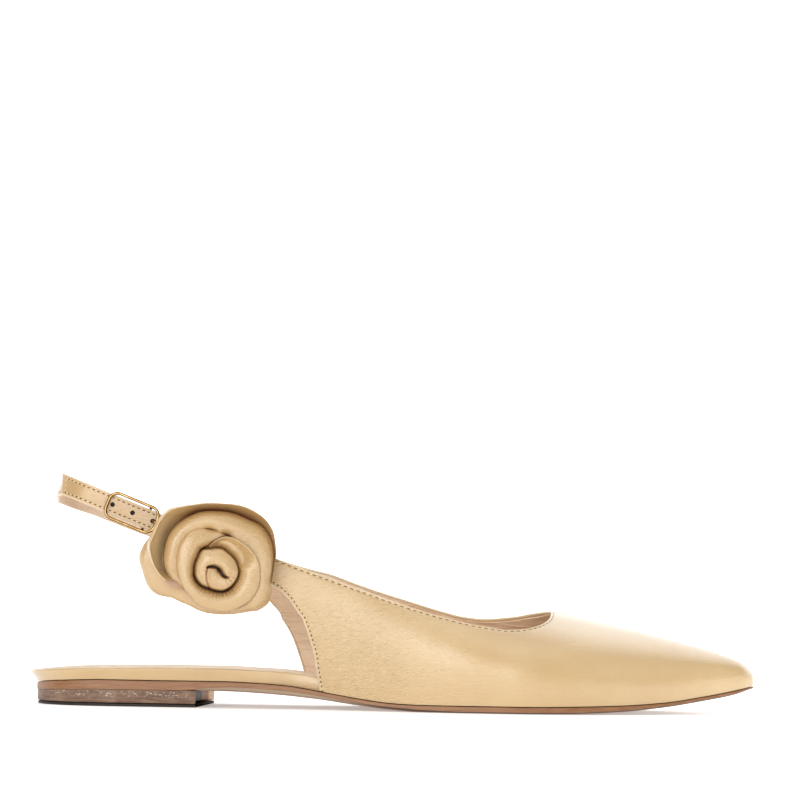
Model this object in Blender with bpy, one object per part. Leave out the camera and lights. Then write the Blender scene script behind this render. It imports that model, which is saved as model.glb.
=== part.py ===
"""A pointed sling back flat for the right foot: a hollow leather upper on a thin sole and a low stacked heel,
with a sling strap, a small buckle and a rolled leather rosette on its outer side. Metres, +X to the toe,
+Y to the inner side of the foot, +Z up. The origin is the middle of the heel's resting face."""

import math

import bmesh
import bpy
import numpy as np
from mathutils import Matrix, Vector

# Driving sizes of the last and the sole
SHOE_LENGTH = 0.2685
BALL_WIDTH = 0.080
THROAT_HEIGHT = 0.0369
HEEL_SEAT = 0.0094
TOE_SPRING = 0.0103
FOREFOOT_SOLE = 0.0024
HEEL_TOP = 0.0061
TOE_LIFT = 0.0096
SEAM_GAP = 0.0003

# The upper
WALL = 0.0014
TUCK = 0.30
NOSE = 0.006
NOSE_FLAT = 0.0028
QUARTER_RIBS = 30
VAMP_RIBS = 14
RIB_STEPS = 10
CORNER_RIB = 0.42

# The sole, insole and heel
SOLE_MARGIN = 0.0003
SOLE_BACK = 0.0035
HEEL_ROUND = 0.024
EDGE_LIFT = 0.0004
EDGE_BEVEL = 0.0030
INSOLE_THICK = 0.0043
INSOLE_FLARE = 0.0021
INSOLE_DIP = 0.0008
INSOLE_CORNER = 0.0007
HEEL_LENGTH = 0.0620
BREAST_HOLLOW = 0.0032
BREAST_SLANT = 0.0020
HEEL_INSET = 0.0002
TOP_LIFT = 0.0010
HEEL_CENTRE = 0.030

# The strap and its buckle
STRAP_WIDTH = 0.0072
STRAP_THICK = 0.0015
STRAP_RISE = math.radians(21.4)
STRAP_SIDE = 0.0295
BUCKLE_ALONG = 0.0395
BUCKLE_HEIGHT = 0.0699
STRAP_END_ALONG = 0.0134
STRAP_END_SLANT = 0.85
TAIL_LENGTH = 0.0130
TAIL_TIP = 0.45
LOOP_TURN = 0.0115
LOOP_DEPTH = 0.0077
SLING_LEAN = math.radians(19)
HOLE_SPACING = 0.00785
HOLE_RADIUS = 0.0009
FRAME_LENGTH = 0.0200
FRAME_WIDTH = 0.0106
FRAME_WIRE = 0.0011
FRAME_CORNER = 0.0032
FRAME_SHIFT = -0.0001
BAR_ALONG = 0.0054
PRONG_WIRE = 0.0010
TAB_THICK = 0.0006
TAB_WIDTH = 0.0066
TAB_END_ALONG = 0.0860

# The rosette
ROSETTE_REACH = 0.0285
ROSETTE_ALONG = 0.0701
ROSETTE_HEIGHT = 0.0495
ROSETTE_TILT = math.radians(7.0)
ROSETTE_DEPTH = 0.0150
BASE_DEPTH = 0.0022

LATERAL, MEDIAL = -1, 1


def table(columns, *rows):
    """Rows of hand-chosen shares, as a dictionary of named columns."""
    return dict(zip(columns.split(), zip(*rows)))


# Half widths of the sole's outline from its swinging centre line, as shares of BALL_WIDTH
OUTLINE = table(
    "along swing lateral medial",
    (0.00, 0.000, 0.318, 0.318),
    (0.10, 0.000, 0.322, 0.322),
    (0.15, 0.000, 0.325, 0.319),
    (0.20, 0.000, 0.323, 0.308),
    (0.25, 0.000, 0.320, 0.290),
    (0.30, 0.000, 0.325, 0.273),
    (0.35, 0.000, 0.338, 0.265),
    (0.40, 0.000, 0.358, 0.269),
    (0.45, 0.000, 0.388, 0.292),
    (0.50, 0.000, 0.425, 0.333),
    (0.56, 0.000, 0.461, 0.388),
    (0.61, 0.000, 0.479, 0.430),
    (0.66, 0.000, 0.480, 0.464),
    (0.72, 0.000, 0.454, 0.472),
    (0.78, 0.004, 0.395, 0.435),
    (0.84, 0.010, 0.315, 0.355),
    (0.90, 0.016, 0.224, 0.256),
    (0.95, 0.021, 0.140, 0.158),
    (0.98, 0.024, 0.083, 0.090),
    (1.00, 0.025, 0.048, 0.050),
)

# Heights along the sole: its top as shares of the heel's and the toe's rise, then its underside
PROFILE = table(
    "along seat spring under_seat under_spring",
    (0.000, 0.70, 0.00, 0.79, 0.00),
    (0.050, 0.91, 0.00, 0.93, 0.00),
    (0.110, 1.00, 0.00, 1.00, 0.00),
    (0.275, 1.00, 0.00, 0.98, 0.00),
    (0.305, 0.96, 0.00, 0.94, 0.00),
    (0.355, 0.85, 0.00, 0.81, 0.00),
    (0.405, 0.57, 0.00, 0.60, 0.00),
    (0.450, 0.29, 0.00, 0.34, 0.00),
    (0.500, 0.06, 0.00, 0.10, 0.00),
    (0.540, 0.00, 0.00, 0.00, 0.00),
    (0.690, 0.00, 0.00, 0.00, 0.00),
    (0.730, 0.00, 0.02, 0.00, 0.01),
    (0.810, 0.00, 0.09, 0.00, 0.10),
    (0.870, 0.00, 0.23, 0.00, 0.27),
    (0.930, 0.00, 0.53, 0.00, 0.53),
    (0.970, 0.00, 0.78, 0.00, 0.74),
    (1.000, 0.00, 1.00, 0.00, 1.00),
)

# The last above the feather line: widths and ridge are shares of BALL_WIDTH, heights of THROAT_HEIGHT
LAST = table(
    "along lateral medial widest cone ridge fullness",
    (0.25, 0.366, 0.354, 0.60, 2.30, 0.000, 2.7),
    (0.34, 0.375, 0.360, 0.63, 2.16, 0.000, 2.7),
    (0.40, 0.394, 0.366, 0.60, 1.95, 0.006, 2.6),
    (0.45, 0.418, 0.379, 0.51, 1.72, 0.012, 2.5),
    (0.50, 0.450, 0.402, 0.43, 1.51, 0.020, 2.4),
    (0.56, 0.482, 0.435, 0.35, 1.31, 0.031, 2.2),
    (0.61, 0.499, 0.465, 0.30, 1.18, 0.044, 2.1),
    (0.66, 0.500, 0.491, 0.26, 1.08, 0.050, 2.0),
    (0.72, 0.475, 0.495, 0.23, 1.00, 0.050, 2.0),
    (0.78, 0.417, 0.455, 0.21, 0.906, 0.044, 2.0),
    (0.84, 0.335, 0.375, 0.19, 0.811, 0.031, 2.0),
    (0.90, 0.241, 0.274, 0.17, 0.704, 0.019, 2.0),
    (0.95, 0.155, 0.173, 0.15, 0.605, 0.010, 2.0),
    (0.98, 0.095, 0.102, 0.13, 0.526, 0.004, 2.0),
    (1.00, 0.058, 0.060, 0.11, 0.468, 0.000, 2.0),
)

# Edges of the upper in side view: along in shares of SHOE_LENGTH, height in shares of THROAT_HEIGHT
THROAT_ALONG = 0.7207
TOPLINE = {
    LATERAL: table(
        "along height",
        (0.283, 1.618),
        (0.346, 1.463),
        (0.402, 1.322),
        (0.466, 1.163),
        (0.523, 1.024),
        (0.566, 0.935),
        (0.614, 0.856),
        (0.661, 0.816),
        (0.693, 0.851),
        (0.713, 0.927),
    ),
    MEDIAL: table(
        "along height",
        (0.262, 1.655),
        (0.317, 1.520),
        (0.372, 1.409),
        (0.449, 1.246),
        (0.523, 1.081),
        (0.568, 0.986),
        (0.597, 0.935),
        (0.626, 0.913),
        (0.655, 0.924),
        (0.683, 0.954),
        (0.709, 0.992),
    ),
}
BACK_EDGE = {
    LATERAL: table(
        "along height",
        (0.283, 1.392),
        (0.313, 1.290),
        (0.340, 1.198),
        (0.358, 1.089),
        (0.370, 0.970),
        (0.382, 0.821),
        (0.389, 0.683),
        (0.395, 0.542),
        (0.399, 0.363),
    ),
    MEDIAL: table(
        "along height",
        (0.262, 1.428),
        (0.290, 1.287),
        (0.313, 1.152),
        (0.329, 1.022),
        (0.343, 0.878),
        (0.357, 0.710),
        (0.366, 0.553),
        (0.375, 0.366),
    ),
}
CORNER_ALONG = {LATERAL: 0.4035, MEDIAL: 0.381}

# How far the insole's edge stands out from the outline: the flare dies away before the quarters
INSOLE_EDGE = {
    LATERAL: table("along top foot", (0.0, 1.0, 0.0), (0.25, 0.9, 0.0), (0.33, 0.5, 0.4), (0.385, 0.0, 1.0), (1.0, 0.0, 1.0)),
    MEDIAL: table("along top foot", (0.0, 1.0, 0.0), (0.22, 0.9, 0.0), (0.30, 0.5, 0.4), (0.355, 0.0, 1.0), (1.0, 0.0, 1.0)),
}
INSOLE_BODY = table(
    "along thick",
    (0.00, 0.93),
    (0.11, 0.96),
    (0.20, 1.05),
    (0.30, 1.05),
    (0.39, 1.12),
    (0.52, 0.75),
    (0.90, 0.70),
    (1.00, 0.55),
)

# The sling strap's path from the inner side round the heel: plan in shares of STRAP_SIDE, height of its middle
# in shares of BUCKLE_HEIGHT. Both its ends follow the pieces that they are sewn to
SLING_PATH = table(
    "along across height",
    (1.950, 0.842, 0.869),
    (1.560, 0.855, 0.925),
    (1.150, 0.842, 0.985),
    (0.775, 0.745, 1.046),
    (0.540, 0.550, 1.077),
    (0.413, 0.300, 1.097),
    (0.367, 0.000, 1.106),
    (0.392, -0.270, 1.117),
    (0.413, -0.510, 1.130),
)
SLING_SEWN = {LATERAL: (0.03, 0.47, 0.92, 1.40), MEDIAL: (0.333, 0.314, 0.294, 0.275)}

# Rosette outlines: angle in degrees from the toe side, counted upwards, and reach in shares of ROSETTE_REACH
SHEET_EDGE = table(
    "angle reach",
    (0, 0.66),
    (30, 0.70),
    (60, 0.76),
    (90, 0.74),
    (120, 0.78),
    (150, 0.885),
    (168, 0.98),
    (182, 0.92),
    (195, 0.865),
    (213, 0.655),
    (240, 0.550),
    (265, 0.547),
    (285, 0.575),
    (308, 0.665),
    (325, 0.770),
    (342, 0.745),
)
CUP_EDGE = table(
    "angle reach",
    (0, 0.712),
    (25, 0.800),
    (45, 0.880),
    (66, 0.876),
    (87, 0.846),
    (108, 0.874),
    (130, 0.985),
    (150, 0.950),
    (165, 0.868),
    (178, 0.760),
    (195, 0.650),
    (340, 0.700),
)
MIDDLE_EDGE = table(
    "angle reach",
    (5, 0.680),
    (29, 0.765),
    (43, 0.800),
    (62, 0.757),
    (89, 0.750),
    (110, 0.768),
    (137, 0.765),
    (160, 0.712),
    (175, 0.670),
    (188, 0.600),
    (205, 0.550),
    (225, 0.535),
    (285, 0.545),
    (310, 0.630),
    (335, 0.690),
)
INNER_EDGE = table(
    "angle reach",
    (5, 0.615),
    (32, 0.622),
    (49, 0.545),
    (76, 0.500),
    (100, 0.530),
    (120, 0.550),
    (140, 0.560),
    (165, 0.535),
    (195, 0.505),
    (220, 0.480),
    (248, 0.470),
    (284, 0.500),
    (312, 0.575),
    (339, 0.600),
)
BUD_EDGE = table(
    "angle reach",
    (0, 0.275),
    (45, 0.272),
    (90, 0.285),
    (130, 0.310),
    (170, 0.278),
    (225, 0.260),
    (270, 0.268),
    (315, 0.278),
)

# Front faces of the rolls from their inner to their outer edge, in shares of ROSETTE_DEPTH
BUD_FACE = table("share front", (0.0, 0.86), (0.30, 0.95), (0.62, 0.985), (0.86, 0.90), (1.0, 0.72))
INNER_FACE = table("share front", (0.0, 0.74), (0.16, 0.89), (0.42, 0.96), (0.74, 0.88), (1.0, 0.70))
MIDDLE_FACE = table("share front", (0.0, 0.62), (0.25, 0.77), (0.52, 0.81), (0.80, 0.73), (1.0, 0.55))
CUP_FACE = table("share front", (0.0, 0.40), (0.30, 0.48), (0.60, 0.63), (0.85, 0.72), (1.0, 0.68))


def smooth_line(places, values):
    """A function that passes through the values, bends smoothly and never overshoots between them."""
    x, y = np.array(places, float), np.array(values, float)
    slope = np.diff(y) / np.diff(x)
    turn = np.zeros(len(x))
    turn[0], turn[-1] = slope[0], slope[-1]
    for i in range(1, len(x) - 1):
        if slope[i - 1] * slope[i] > 0:
            turn[i] = 2 * slope[i - 1] * slope[i] / (slope[i - 1] + slope[i])

    def value(place):
        place = min(max(place, x[0]), x[-1])
        i = min(int(np.searchsorted(x, place, side="right")) - 1, len(x) - 2)
        step = x[i + 1] - x[i]
        t = (place - x[i]) / step
        return (
            y[i] * (1 + 2 * t) * (1 - t) ** 2
            + y[i + 1] * t * t * (3 - 2 * t)
            + step * (turn[i] * t * (1 - t) ** 2 - turn[i + 1] * t * t * (1 - t))
        )

    return value


def lines_of(rows, key="along"):
    """A smooth function for each column of a table."""
    return {name: smooth_line(rows[key], rows[name]) for name in rows if name != key}


def through_points(points, count, closed=False):
    """count points evenly spaced along a smooth curve through the given ones."""
    p = [np.array(q, float) for q in points]
    if closed:
        p = [p[-1]] + p + [p[0], p[1]]
    else:
        p = [2 * p[0] - p[1]] + p + [2 * p[-1] - p[-2]]
    fine = []
    for a, b, c, d in zip(p, p[1:], p[2:], p[3:]):
        for t in np.linspace(0, 1, 24, endpoint=False):
            fine.append(0.5 * (2 * b + (c - a) * t + (2 * a - 5 * b + 4 * c - d) * t**2 + (3 * b - a - 3 * c + d) * t**3))
    fine.append(p[-2])
    fine = np.array(fine)
    run = np.concatenate([[0], np.cumsum(np.linalg.norm(np.diff(fine, axis=0), axis=1))])
    wanted = np.linspace(0, run[-1], count + 1 if closed else count)
    if closed:
        wanted = wanted[:-1]
    return [np.array([np.interp(w, run, fine[:, i]) for i in range(fine.shape[1])]) for w in wanted]


outline = lines_of(OUTLINE)
profile = lines_of(PROFILE)
last = lines_of(LAST)


def nose(along):
    """1 along the shoe, falling to 0 at the tip of the toe as an ellipse does."""
    into = (along - (1 - NOSE / SHOE_LENGTH)) / (NOSE / SHOE_LENGTH)
    return math.sqrt(max(0.0, 1 - max(0.0, into) ** 2))


def heel_round(along):
    """0 at the back of the sole, rising to 1 where the heel's curve ends."""
    into = 1 - (along * SHOE_LENGTH - SOLE_BACK) / HEEL_ROUND
    return math.sqrt(max(0.0, 1 - max(0.0, into) ** 2))


def sole_top(along):
    rise = (HEEL_SEAT - FOREFOOT_SOLE) * profile["seat"](along)
    return FOREFOOT_SOLE + rise + (TOE_SPRING - FOREFOOT_SOLE) * profile["spring"](along)


def sole_under(along):
    return HEEL_TOP * profile["under_seat"](along) + TOE_LIFT * profile["under_spring"](along)


def sole_edge(along, side, out=0.0):
    """The outline's Y on one side, moved outwards by out."""
    name = "lateral" if side == LATERAL else "medial"
    reach = BALL_WIDTH * outline[name](along) * nose(along) * heel_round(along)
    return BALL_WIDTH * outline["swing"](along) + side * max(0.0, reach + out)


def section(along, side):
    """The last's cross section: feather and widest half widths, their heights, ridge, fullness."""
    name = "lateral" if side == LATERAL else "medial"
    centre = BALL_WIDTH * outline["swing"](along)
    round_off = nose(along)
    feather = sole_edge(along, side)
    widest = centre + side * BALL_WIDTH * last[name](along) * round_off
    foot = sole_top(along) + SEAM_GAP
    top = THROAT_HEIGHT * last["cone"](along)
    top = foot + NOSE_FLAT + (top - foot - NOSE_FLAT) * round_off
    middle = foot + (top - foot) * min(0.45, THROAT_HEIGHT * last["widest"](along) / (top - foot))
    ridge = centre + BALL_WIDTH * last["ridge"](along) * round_off
    return feather, widest, foot, middle, top, ridge, last["fullness"](along)


def last_point(along, side, around):
    """A point of the last. around is 0 on the ridge, 1 at the widest line and 1 + TUCK on the feather line."""
    feather, widest, foot, middle, top, ridge, fullness = section(along, side)
    if around <= 1:
        turn = (1 - around) * math.pi / 2
        power = 2 / fullness
        y = ridge + (widest - ridge) * max(0.0, math.cos(turn)) ** power
        z = middle + (top - middle) * max(0.0, math.sin(turn)) ** power
    else:
        up = 1 - (around - 1) / TUCK
        y = feather + (widest - feather) * math.sin(up * math.pi / 2)
        z = foot + (middle - foot) * up
    return Vector((along * SHOE_LENGTH, y, z))


def around_at(along, side, height):
    """Where a height above the floor lies around the section."""
    _, _, foot, middle, top, _, fullness = section(along, side)
    if height >= middle:
        share = min(1.0, (height - middle) / (top - middle))
        return 1 - math.asin(share ** (fullness / 2)) / (math.pi / 2)
    return 1 + TUCK * (1 - max(0.0, height - foot) / (middle - foot))


def last_normal(along, side, around):
    """The outward normal of the last."""
    step_along, step_around = 0.0012, 0.012
    low, high = max(0.0, around - step_around), min(1 + TUCK, around + step_around)
    a = last_point(min(1.0, along + step_along), side, around) - last_point(along - step_along, side, around)
    b = last_point(along, side, high) - last_point(along, side, low)
    normal = a.cross(b) * side
    if normal.length < 1e-12:
        return Vector((1, 0, 0))
    normal.normalize()
    return -normal if normal.z < 0 and around < 0.5 else normal


def edge_curve(rows, side, count, end):
    """count (along, around) pairs down an edge of the upper, given in side view and closed by end."""
    marks = [
        (a, around_at(a, side, h * THROAT_HEIGHT) * 0.1)
        for a, h in zip(rows["along"], rows["height"])
    ]
    marks.append((end[0], end[1] * 0.1))
    return [(a, b * 10) for a, b in through_points(marks, count)]


def rib_ends(side):
    """The foot and the head of every rib of one half of the upper, as (along, around) pairs."""
    back_ribs = round(QUARTER_RIBS * CORNER_RIB)
    corner = CORNER_ALONG[side]
    feet = edge_curve(BACK_EDGE[side], side, back_ribs + 1, (corner, 1 + TUCK))
    for a in np.linspace(corner, THROAT_ALONG, QUARTER_RIBS - back_ribs + 1)[1:]:
        feet.append((a, 1 + TUCK))
    heads = edge_curve(TOPLINE[side], side, QUARTER_RIBS + 1, (THROAT_ALONG, 0.0))
    for i in range(1, VAMP_RIBS + 1):
        share = math.sin(i / VAMP_RIBS * math.pi / 2)
        a = THROAT_ALONG + (1 - THROAT_ALONG) * share
        feet.append((a, 1 + TUCK))
        heads.append((a, 0.0))
    return list(zip(feet, heads))


def new_object(name, bm, material, parent, smooth_angle=None):
    """A named object from a bmesh, with its faces turned outwards."""
    bmesh.ops.remove_doubles(bm, verts=bm.verts, dist=1e-6)
    bmesh.ops.recalc_face_normals(bm, faces=bm.faces)
    if bm.calc_volume(signed=True) < 0:
        bmesh.ops.reverse_faces(bm, faces=bm.faces)
    mesh = bpy.data.meshes.new(name)
    bm.to_mesh(mesh)
    bm.free()
    if smooth_angle is not None:
        mesh.shade_smooth()
        mesh.set_sharp_from_angle(angle=smooth_angle)
    mesh.materials.append(material)
    obj = bpy.data.objects.new(name, mesh)
    bpy.context.scene.collection.objects.link(obj)
    obj.parent = parent
    return obj


def add_face(bm, corners):
    """A face through the corners that are different, or none where it has no area."""
    kept = []
    for corner in corners:
        if all((corner.co - other.co).length > 1e-7 for other in kept):
            kept.append(corner)
    if len(kept) >= 3 and bm.faces.get(kept) is None:
        bm.faces.new(kept)


def grid_faces(bm, rows, closed=False):
    """Quads between rows of vertices."""
    for a, b in zip(rows, rows[1:]):
        last_step = len(a) if closed else len(a) - 1
        for i in range(last_step):
            j = (i + 1) % len(a)
            add_face(bm, [a[i], a[j], b[j], b[i]])


def make_upper(material, parent):
    """The vamp and quarters as one hollow wall, open at the throat, at the back and underneath."""
    bm = bmesh.new()
    outer, inner = {}, {}
    for side in (LATERAL, MEDIAL):
        outer[side], inner[side] = [], []
        for foot, head in rib_ends(side):
            out_row, in_row = [], []
            late = 1 + 2 * max(0.0, 1 - head[1] / 0.45)
            for k in range(RIB_STEPS + 1):
                share = k / RIB_STEPS
                a = foot[0] + (head[0] - foot[0]) * share
                r = foot[1] * (1 - share) + head[1] * share**late
                point = last_point(a, side, r)
                within = point - last_normal(a, side, r) * WALL
                if k == 0 and r >= 1 + TUCK - 1e-6:
                    within.z = point.z
                out_row.append(bm.verts.new(point))
                in_row.append(bm.verts.new(within))
            outer[side].append(out_row)
            inner[side].append(in_row)
    room = [
        (inner[MEDIAL][j][2].co - inner[LATERAL][j][2].co).y if j > QUARTER_RIBS else 1.0
        for j in range(len(outer[LATERAL]))
    ]
    last_inner = max(j for j, width in enumerate(room) if width > 2 * WALL)
    for j in range(QUARTER_RIBS, last_inner + 1):
        middle = (inner[LATERAL][j][-1].co + inner[MEDIAL][j][-1].co) / 2
        inner[LATERAL][j][-1].co = inner[MEDIAL][j][-1].co = middle
    for side in (LATERAL, MEDIAL):
        hull = inner[side][: last_inner + 1]
        grid_faces(bm, outer[side])
        grid_faces(bm, hull)
        for j in range(len(outer[side]) - 1):
            m, n = min(j, last_inner), min(j + 1, last_inner)
            add_face(bm, [outer[side][j][0], outer[side][j + 1][0], inner[side][n][0], inner[side][m][0]])
            if j < QUARTER_RIBS:
                add_face(bm, [outer[side][j][-1], outer[side][j + 1][-1], inner[side][n][-1], inner[side][m][-1]])
        grid_faces(bm, [outer[side][0], inner[side][0]])
    grid_faces(bm, [inner[LATERAL][last_inner], inner[MEDIAL][last_inner]])
    add_face(bm, [inner[LATERAL][last_inner][0], inner[MEDIAL][last_inner][0], outer[LATERAL][-1][0]])
    return new_object("upper", bm, material, parent, math.radians(50))


def slab(name, stations, ring_at, material, parent, smooth_angle=math.radians(40)):
    """A solid lofted through closed rings of points, one for each station along the shoe."""
    bm = bmesh.new()
    rings = [[bm.verts.new(p) for p in ring_at(a)] for a in stations]
    grid_faces(bm, rings, closed=True)
    return new_object(name, bm, material, parent, smooth_angle)


def eased_stations(start, end, count):
    """Places along the shoe, closer together towards both ends."""
    return [start + (end - start) * (1 - math.cos(math.pi * i / count)) / 2 for i in range(count + 1)]


def outsole_ring(along):
    x = along * SHOE_LENGTH
    top, under = sole_top(along), sole_under(along)
    lat, med = sole_edge(along, LATERAL, SOLE_MARGIN), sole_edge(along, MEDIAL, SOLE_MARGIN)
    if nose(along) * heel_round(along) < 1e-6:
        lat = med = (lat + med) / 2
    bevel = min(EDGE_BEVEL, (med - lat) * 0.3)
    side_foot = min(under + EDGE_LIFT, top - 0.0002)
    return [
        (x, lat, top),
        (x, lat, side_foot),
        (x, lat + bevel, under),
        (x, med - bevel, under),
        (x, med, side_foot),
        (x, med, top),
    ]


def make_outsole(material, parent):
    ends = eased_stations(SOLE_BACK / SHOE_LENGTH, 1.0, 52)
    return slab("outsole", ends, outsole_ring, material, parent)


insole_edge = {side: lines_of(INSOLE_EDGE[side]) for side in INSOLE_EDGE}
insole_body = lines_of(INSOLE_BODY)
INSOLE_SET_IN = WALL + 2 * SEAM_GAP


def insole_y(along, side, level):
    """The insole's edge: its top flares out at the heel, and both levels pass inside the upper's wall."""
    edge = insole_edge[side]
    out = -INSOLE_SET_IN * edge["foot"](along)
    if level == "top":
        out += INSOLE_FLARE * edge["top"](along)
    return sole_edge(along, side, out)


def insole_back_shift(along):
    """The flared top reaches as far back past the sole as it does sideways."""
    span = HEEL_ROUND / SHOE_LENGTH
    return INSOLE_FLARE * max(0.0, 1 - (along - SOLE_BACK / SHOE_LENGTH) / span) ** 2


def insole_ring(along):
    x = along * SHOE_LENGTH
    foot = sole_top(along) + SEAM_GAP
    top = foot + INSOLE_THICK * insole_body["thick"](along)
    lat, med = insole_y(along, LATERAL, "foot"), insole_y(along, MEDIAL, "foot")
    lat_top, med_top = insole_y(along, LATERAL, "top"), insole_y(along, MEDIAL, "top")
    if heel_round(along) < 1e-6:
        lat = med = lat_top = med_top = 0.0
    corner = min(INSOLE_CORNER, (med_top - lat_top) * 0.2)
    x_top = x - insole_back_shift(along)
    middle = (lat_top + med_top) / 2
    dip = INSOLE_DIP * min(1.0, (med_top - lat_top) / BALL_WIDTH * 2)
    return [
        (x, lat, foot),
        (x_top, lat_top, top - INSOLE_CORNER),
        (x_top, lat_top + corner, top),
        (x_top, middle, top - dip),
        (x_top, med_top - corner, top),
        (x_top, med_top, top - INSOLE_CORNER),
        (x, med, foot),
    ]


def make_insole(material, parent):
    front = 1 - (NOSE * 1.6) / SHOE_LENGTH
    ends = [
        SOLE_BACK / SHOE_LENGTH + (front - SOLE_BACK / SHOE_LENGTH) * (1 - math.cos(math.pi * i / 44)) / 2
        for i in range(45)
    ]
    bm = bmesh.new()
    rings = [[bm.verts.new(p) for p in insole_ring(a)] for a in ends]
    grid_faces(bm, rings, closed=True)
    bm.faces.new(rings[-1])
    return new_object("insole", bm, material, parent, math.radians(40))


def heel_stack(name, low, high, inset, material, parent):
    """A layer of the heel between two heights, or up to the outsole where high is None."""
    rows_along, rows_across = 16, 8
    start = SOLE_BACK / SHOE_LENGTH
    bm = bmesh.new()
    floor, roof = [], []
    for i in range(rows_along + 1):
        share = (1 - math.cos(math.pi * i / rows_along / 2)) if i < rows_along else 1.0
        under_row, over_row = [], []
        for j in range(rows_across + 1):
            across = 2 * j / rows_across - 1
            reach = HEEL_LENGTH - BREAST_HOLLOW * (1 - across**2) + BREAST_SLANT * across
            along = start + share * reach / SHOE_LENGTH
            lat, med = sole_edge(along, LATERAL, -inset), sole_edge(along, MEDIAL, -inset)
            y = lat + (med - lat) * (across + 1) / 2 if share > 1e-9 else 0.0
            x = along * SHOE_LENGTH + inset * (1 - share)
            z = sole_under(along) - SEAM_GAP if high is None else high
            under_row.append(bm.verts.new((x, y, low)))
            over_row.append(bm.verts.new((x, y, z)))
        floor.append(under_row)
        roof.append(over_row)
    grid_faces(bm, floor)
    grid_faces(bm, roof)
    for edge in (0, -1):
        grid_faces(bm, [[row[edge] for row in floor], [row[edge] for row in roof]])
    grid_faces(bm, [floor[-1], roof[-1]])
    return new_object(name, bm, material, parent, math.radians(40))


def band(name, path, width, thick, material, parent):
    """A flat strap: path holds (middle, across, out) for each place, where across runs up its width."""
    bm = bmesh.new()
    rings = []
    for middle, across, out in path:
        up, face = across * (width / 2), out * (thick / 2)
        rings.append([bm.verts.new(middle + a * up + b * face) for a, b in ((-1, 1), (1, 1), (1, -1), (-1, -1))])
    grid_faces(bm, rings, closed=True)
    bm.faces.new(rings[0])
    bm.faces.new(rings[-1])
    return new_object(name, bm, material, parent, math.radians(35))


# The buckle's own directions: along the strap to the rosette, across it upwards, and outwards
ALONG = Vector((math.cos(STRAP_RISE), 0, -math.sin(STRAP_RISE)))
ACROSS = Vector((math.sin(STRAP_RISE), 0, math.cos(STRAP_RISE)))
OUT = Vector((0, -1, 0))
BUCKLE_AT = Vector((BUCKLE_ALONG, -STRAP_SIDE, BUCKLE_HEIGHT))


def at_buckle(along, across, out):
    """A point by its distances from the middle of the strap under the buckle."""
    return BUCKLE_AT + ALONG * along + ACROSS * across + OUT * out


FRAME_OUT = STRAP_THICK / 2 + SEAM_GAP + FRAME_WIRE / 2
BAR_RADIUS = FRAME_WIRE / 2
PRONG_OUT = BAR_RADIUS + SEAM_GAP + PRONG_WIRE / 2
BAR_OUT = -(STRAP_THICK / 2 + SEAM_GAP + PRONG_WIRE / 2 + PRONG_OUT)


STRAP_START = (STRAP_END_ALONG - BUCKLE_ALONG) / math.cos(STRAP_RISE)


def strap_line(s):
    """The outer strap's middle and its outward normal: straight under the buckle, bent in round the heel."""
    length = LOOP_TURN / math.cos(STRAP_RISE)
    into = max(0.0, (STRAP_START + length - s) / length)
    out = (OUT - ALONG * (2 * LOOP_DEPTH * into / length)).normalized()
    return at_buckle(s, 0, -LOOP_DEPTH * into**2), out


def make_strap_end(material, parent):
    """The outer strap with its holes. Its back end is cut at a slant and its tail narrows to a round tip."""
    path = []
    taper = STRAP_WIDTH * 0.7
    for s in list(np.linspace(STRAP_START, TAIL_LENGTH - taper, 22)) + [TAIL_LENGTH - taper * k for k in (0.6, 0.3, 0.1, 0)]:
        middle, out = strap_line(s)
        ahead = ACROSS.cross(out)
        slant = STRAP_END_SLANT * max(0.0, 1 - (s - STRAP_START) / (STRAP_WIDTH * 1.2)) ** 1.5
        into_tip = max(0.0, 1 - (TAIL_LENGTH - s) / taper)
        width = TAIL_TIP + (1 - TAIL_TIP) * math.sqrt(1 - into_tip**2)
        path.append((middle, ACROSS * width + ahead * slant * (1 if ahead.dot(ALONG) < 0 else -1), out))
    strap = band("strap_end", path, STRAP_WIDTH, STRAP_THICK, material, parent)
    cutters = []
    for i in range(3):
        bpy.ops.mesh.primitive_cylinder_add(vertices=12, radius=HOLE_RADIUS, depth=STRAP_THICK * 4)
        cutter = bpy.context.object
        cutter.name = f"hole_cutter_{i}"
        place = at_buckle(HOLE_SPACING * (i - 1) + 0.0002, 0, 0)
        cutter.matrix_world = Matrix.Translation(place) @ Matrix.Rotation(math.pi / 2, 4, "X")
        cutter.parent = parent
        cutter.hide_render = True
        cutter.display_type = "WIRE"
        cutters.append(cutter)
        cut = strap.modifiers.new(f"hole_{i}", "BOOLEAN")
        cut.operation = "DIFFERENCE"
        cut.object = cutter
    return strap


def tube(bm, points, radius, sides=8, closed=False):
    """Adds a round wire along the points to a bmesh."""
    rings = []
    count = len(points)
    for i, p in enumerate(points):
        before = points[(i - 1) % count] if closed or i > 0 else p
        after = points[(i + 1) % count] if closed or i < count - 1 else p
        ahead = (after - before).normalized()
        side = ahead.cross(OUT)
        if side.length < 0.2:
            side = ahead.cross(ACROSS)
        side.normalize()
        up = side.cross(ahead).normalized()
        turn = [2 * math.pi * k / sides for k in range(sides)]
        rings.append([bm.verts.new(p + side * radius * math.cos(t) + up * radius * math.sin(t)) for t in turn])
    grid_faces(bm, rings + [rings[0]] if closed else rings, closed=True)
    if not closed:
        bm.faces.new(rings[0])
        bm.faces.new(rings[-1])


def frame_corners(length, width, radius, steps=4):
    """Points round a rounded rectangle, in the buckle's along and across."""
    found = []
    for cx, cy, start in ((1, 1, 0), (-1, 1, 90), (-1, -1, 180), (1, -1, 270)):
        for k in range(steps + 1):
            t = math.radians(start + 90 * k / steps)
            found.append((
                cx * (length / 2 - radius) + radius * math.cos(t),
                cy * (width / 2 - radius) + radius * math.sin(t),
            ))
    return found


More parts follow.
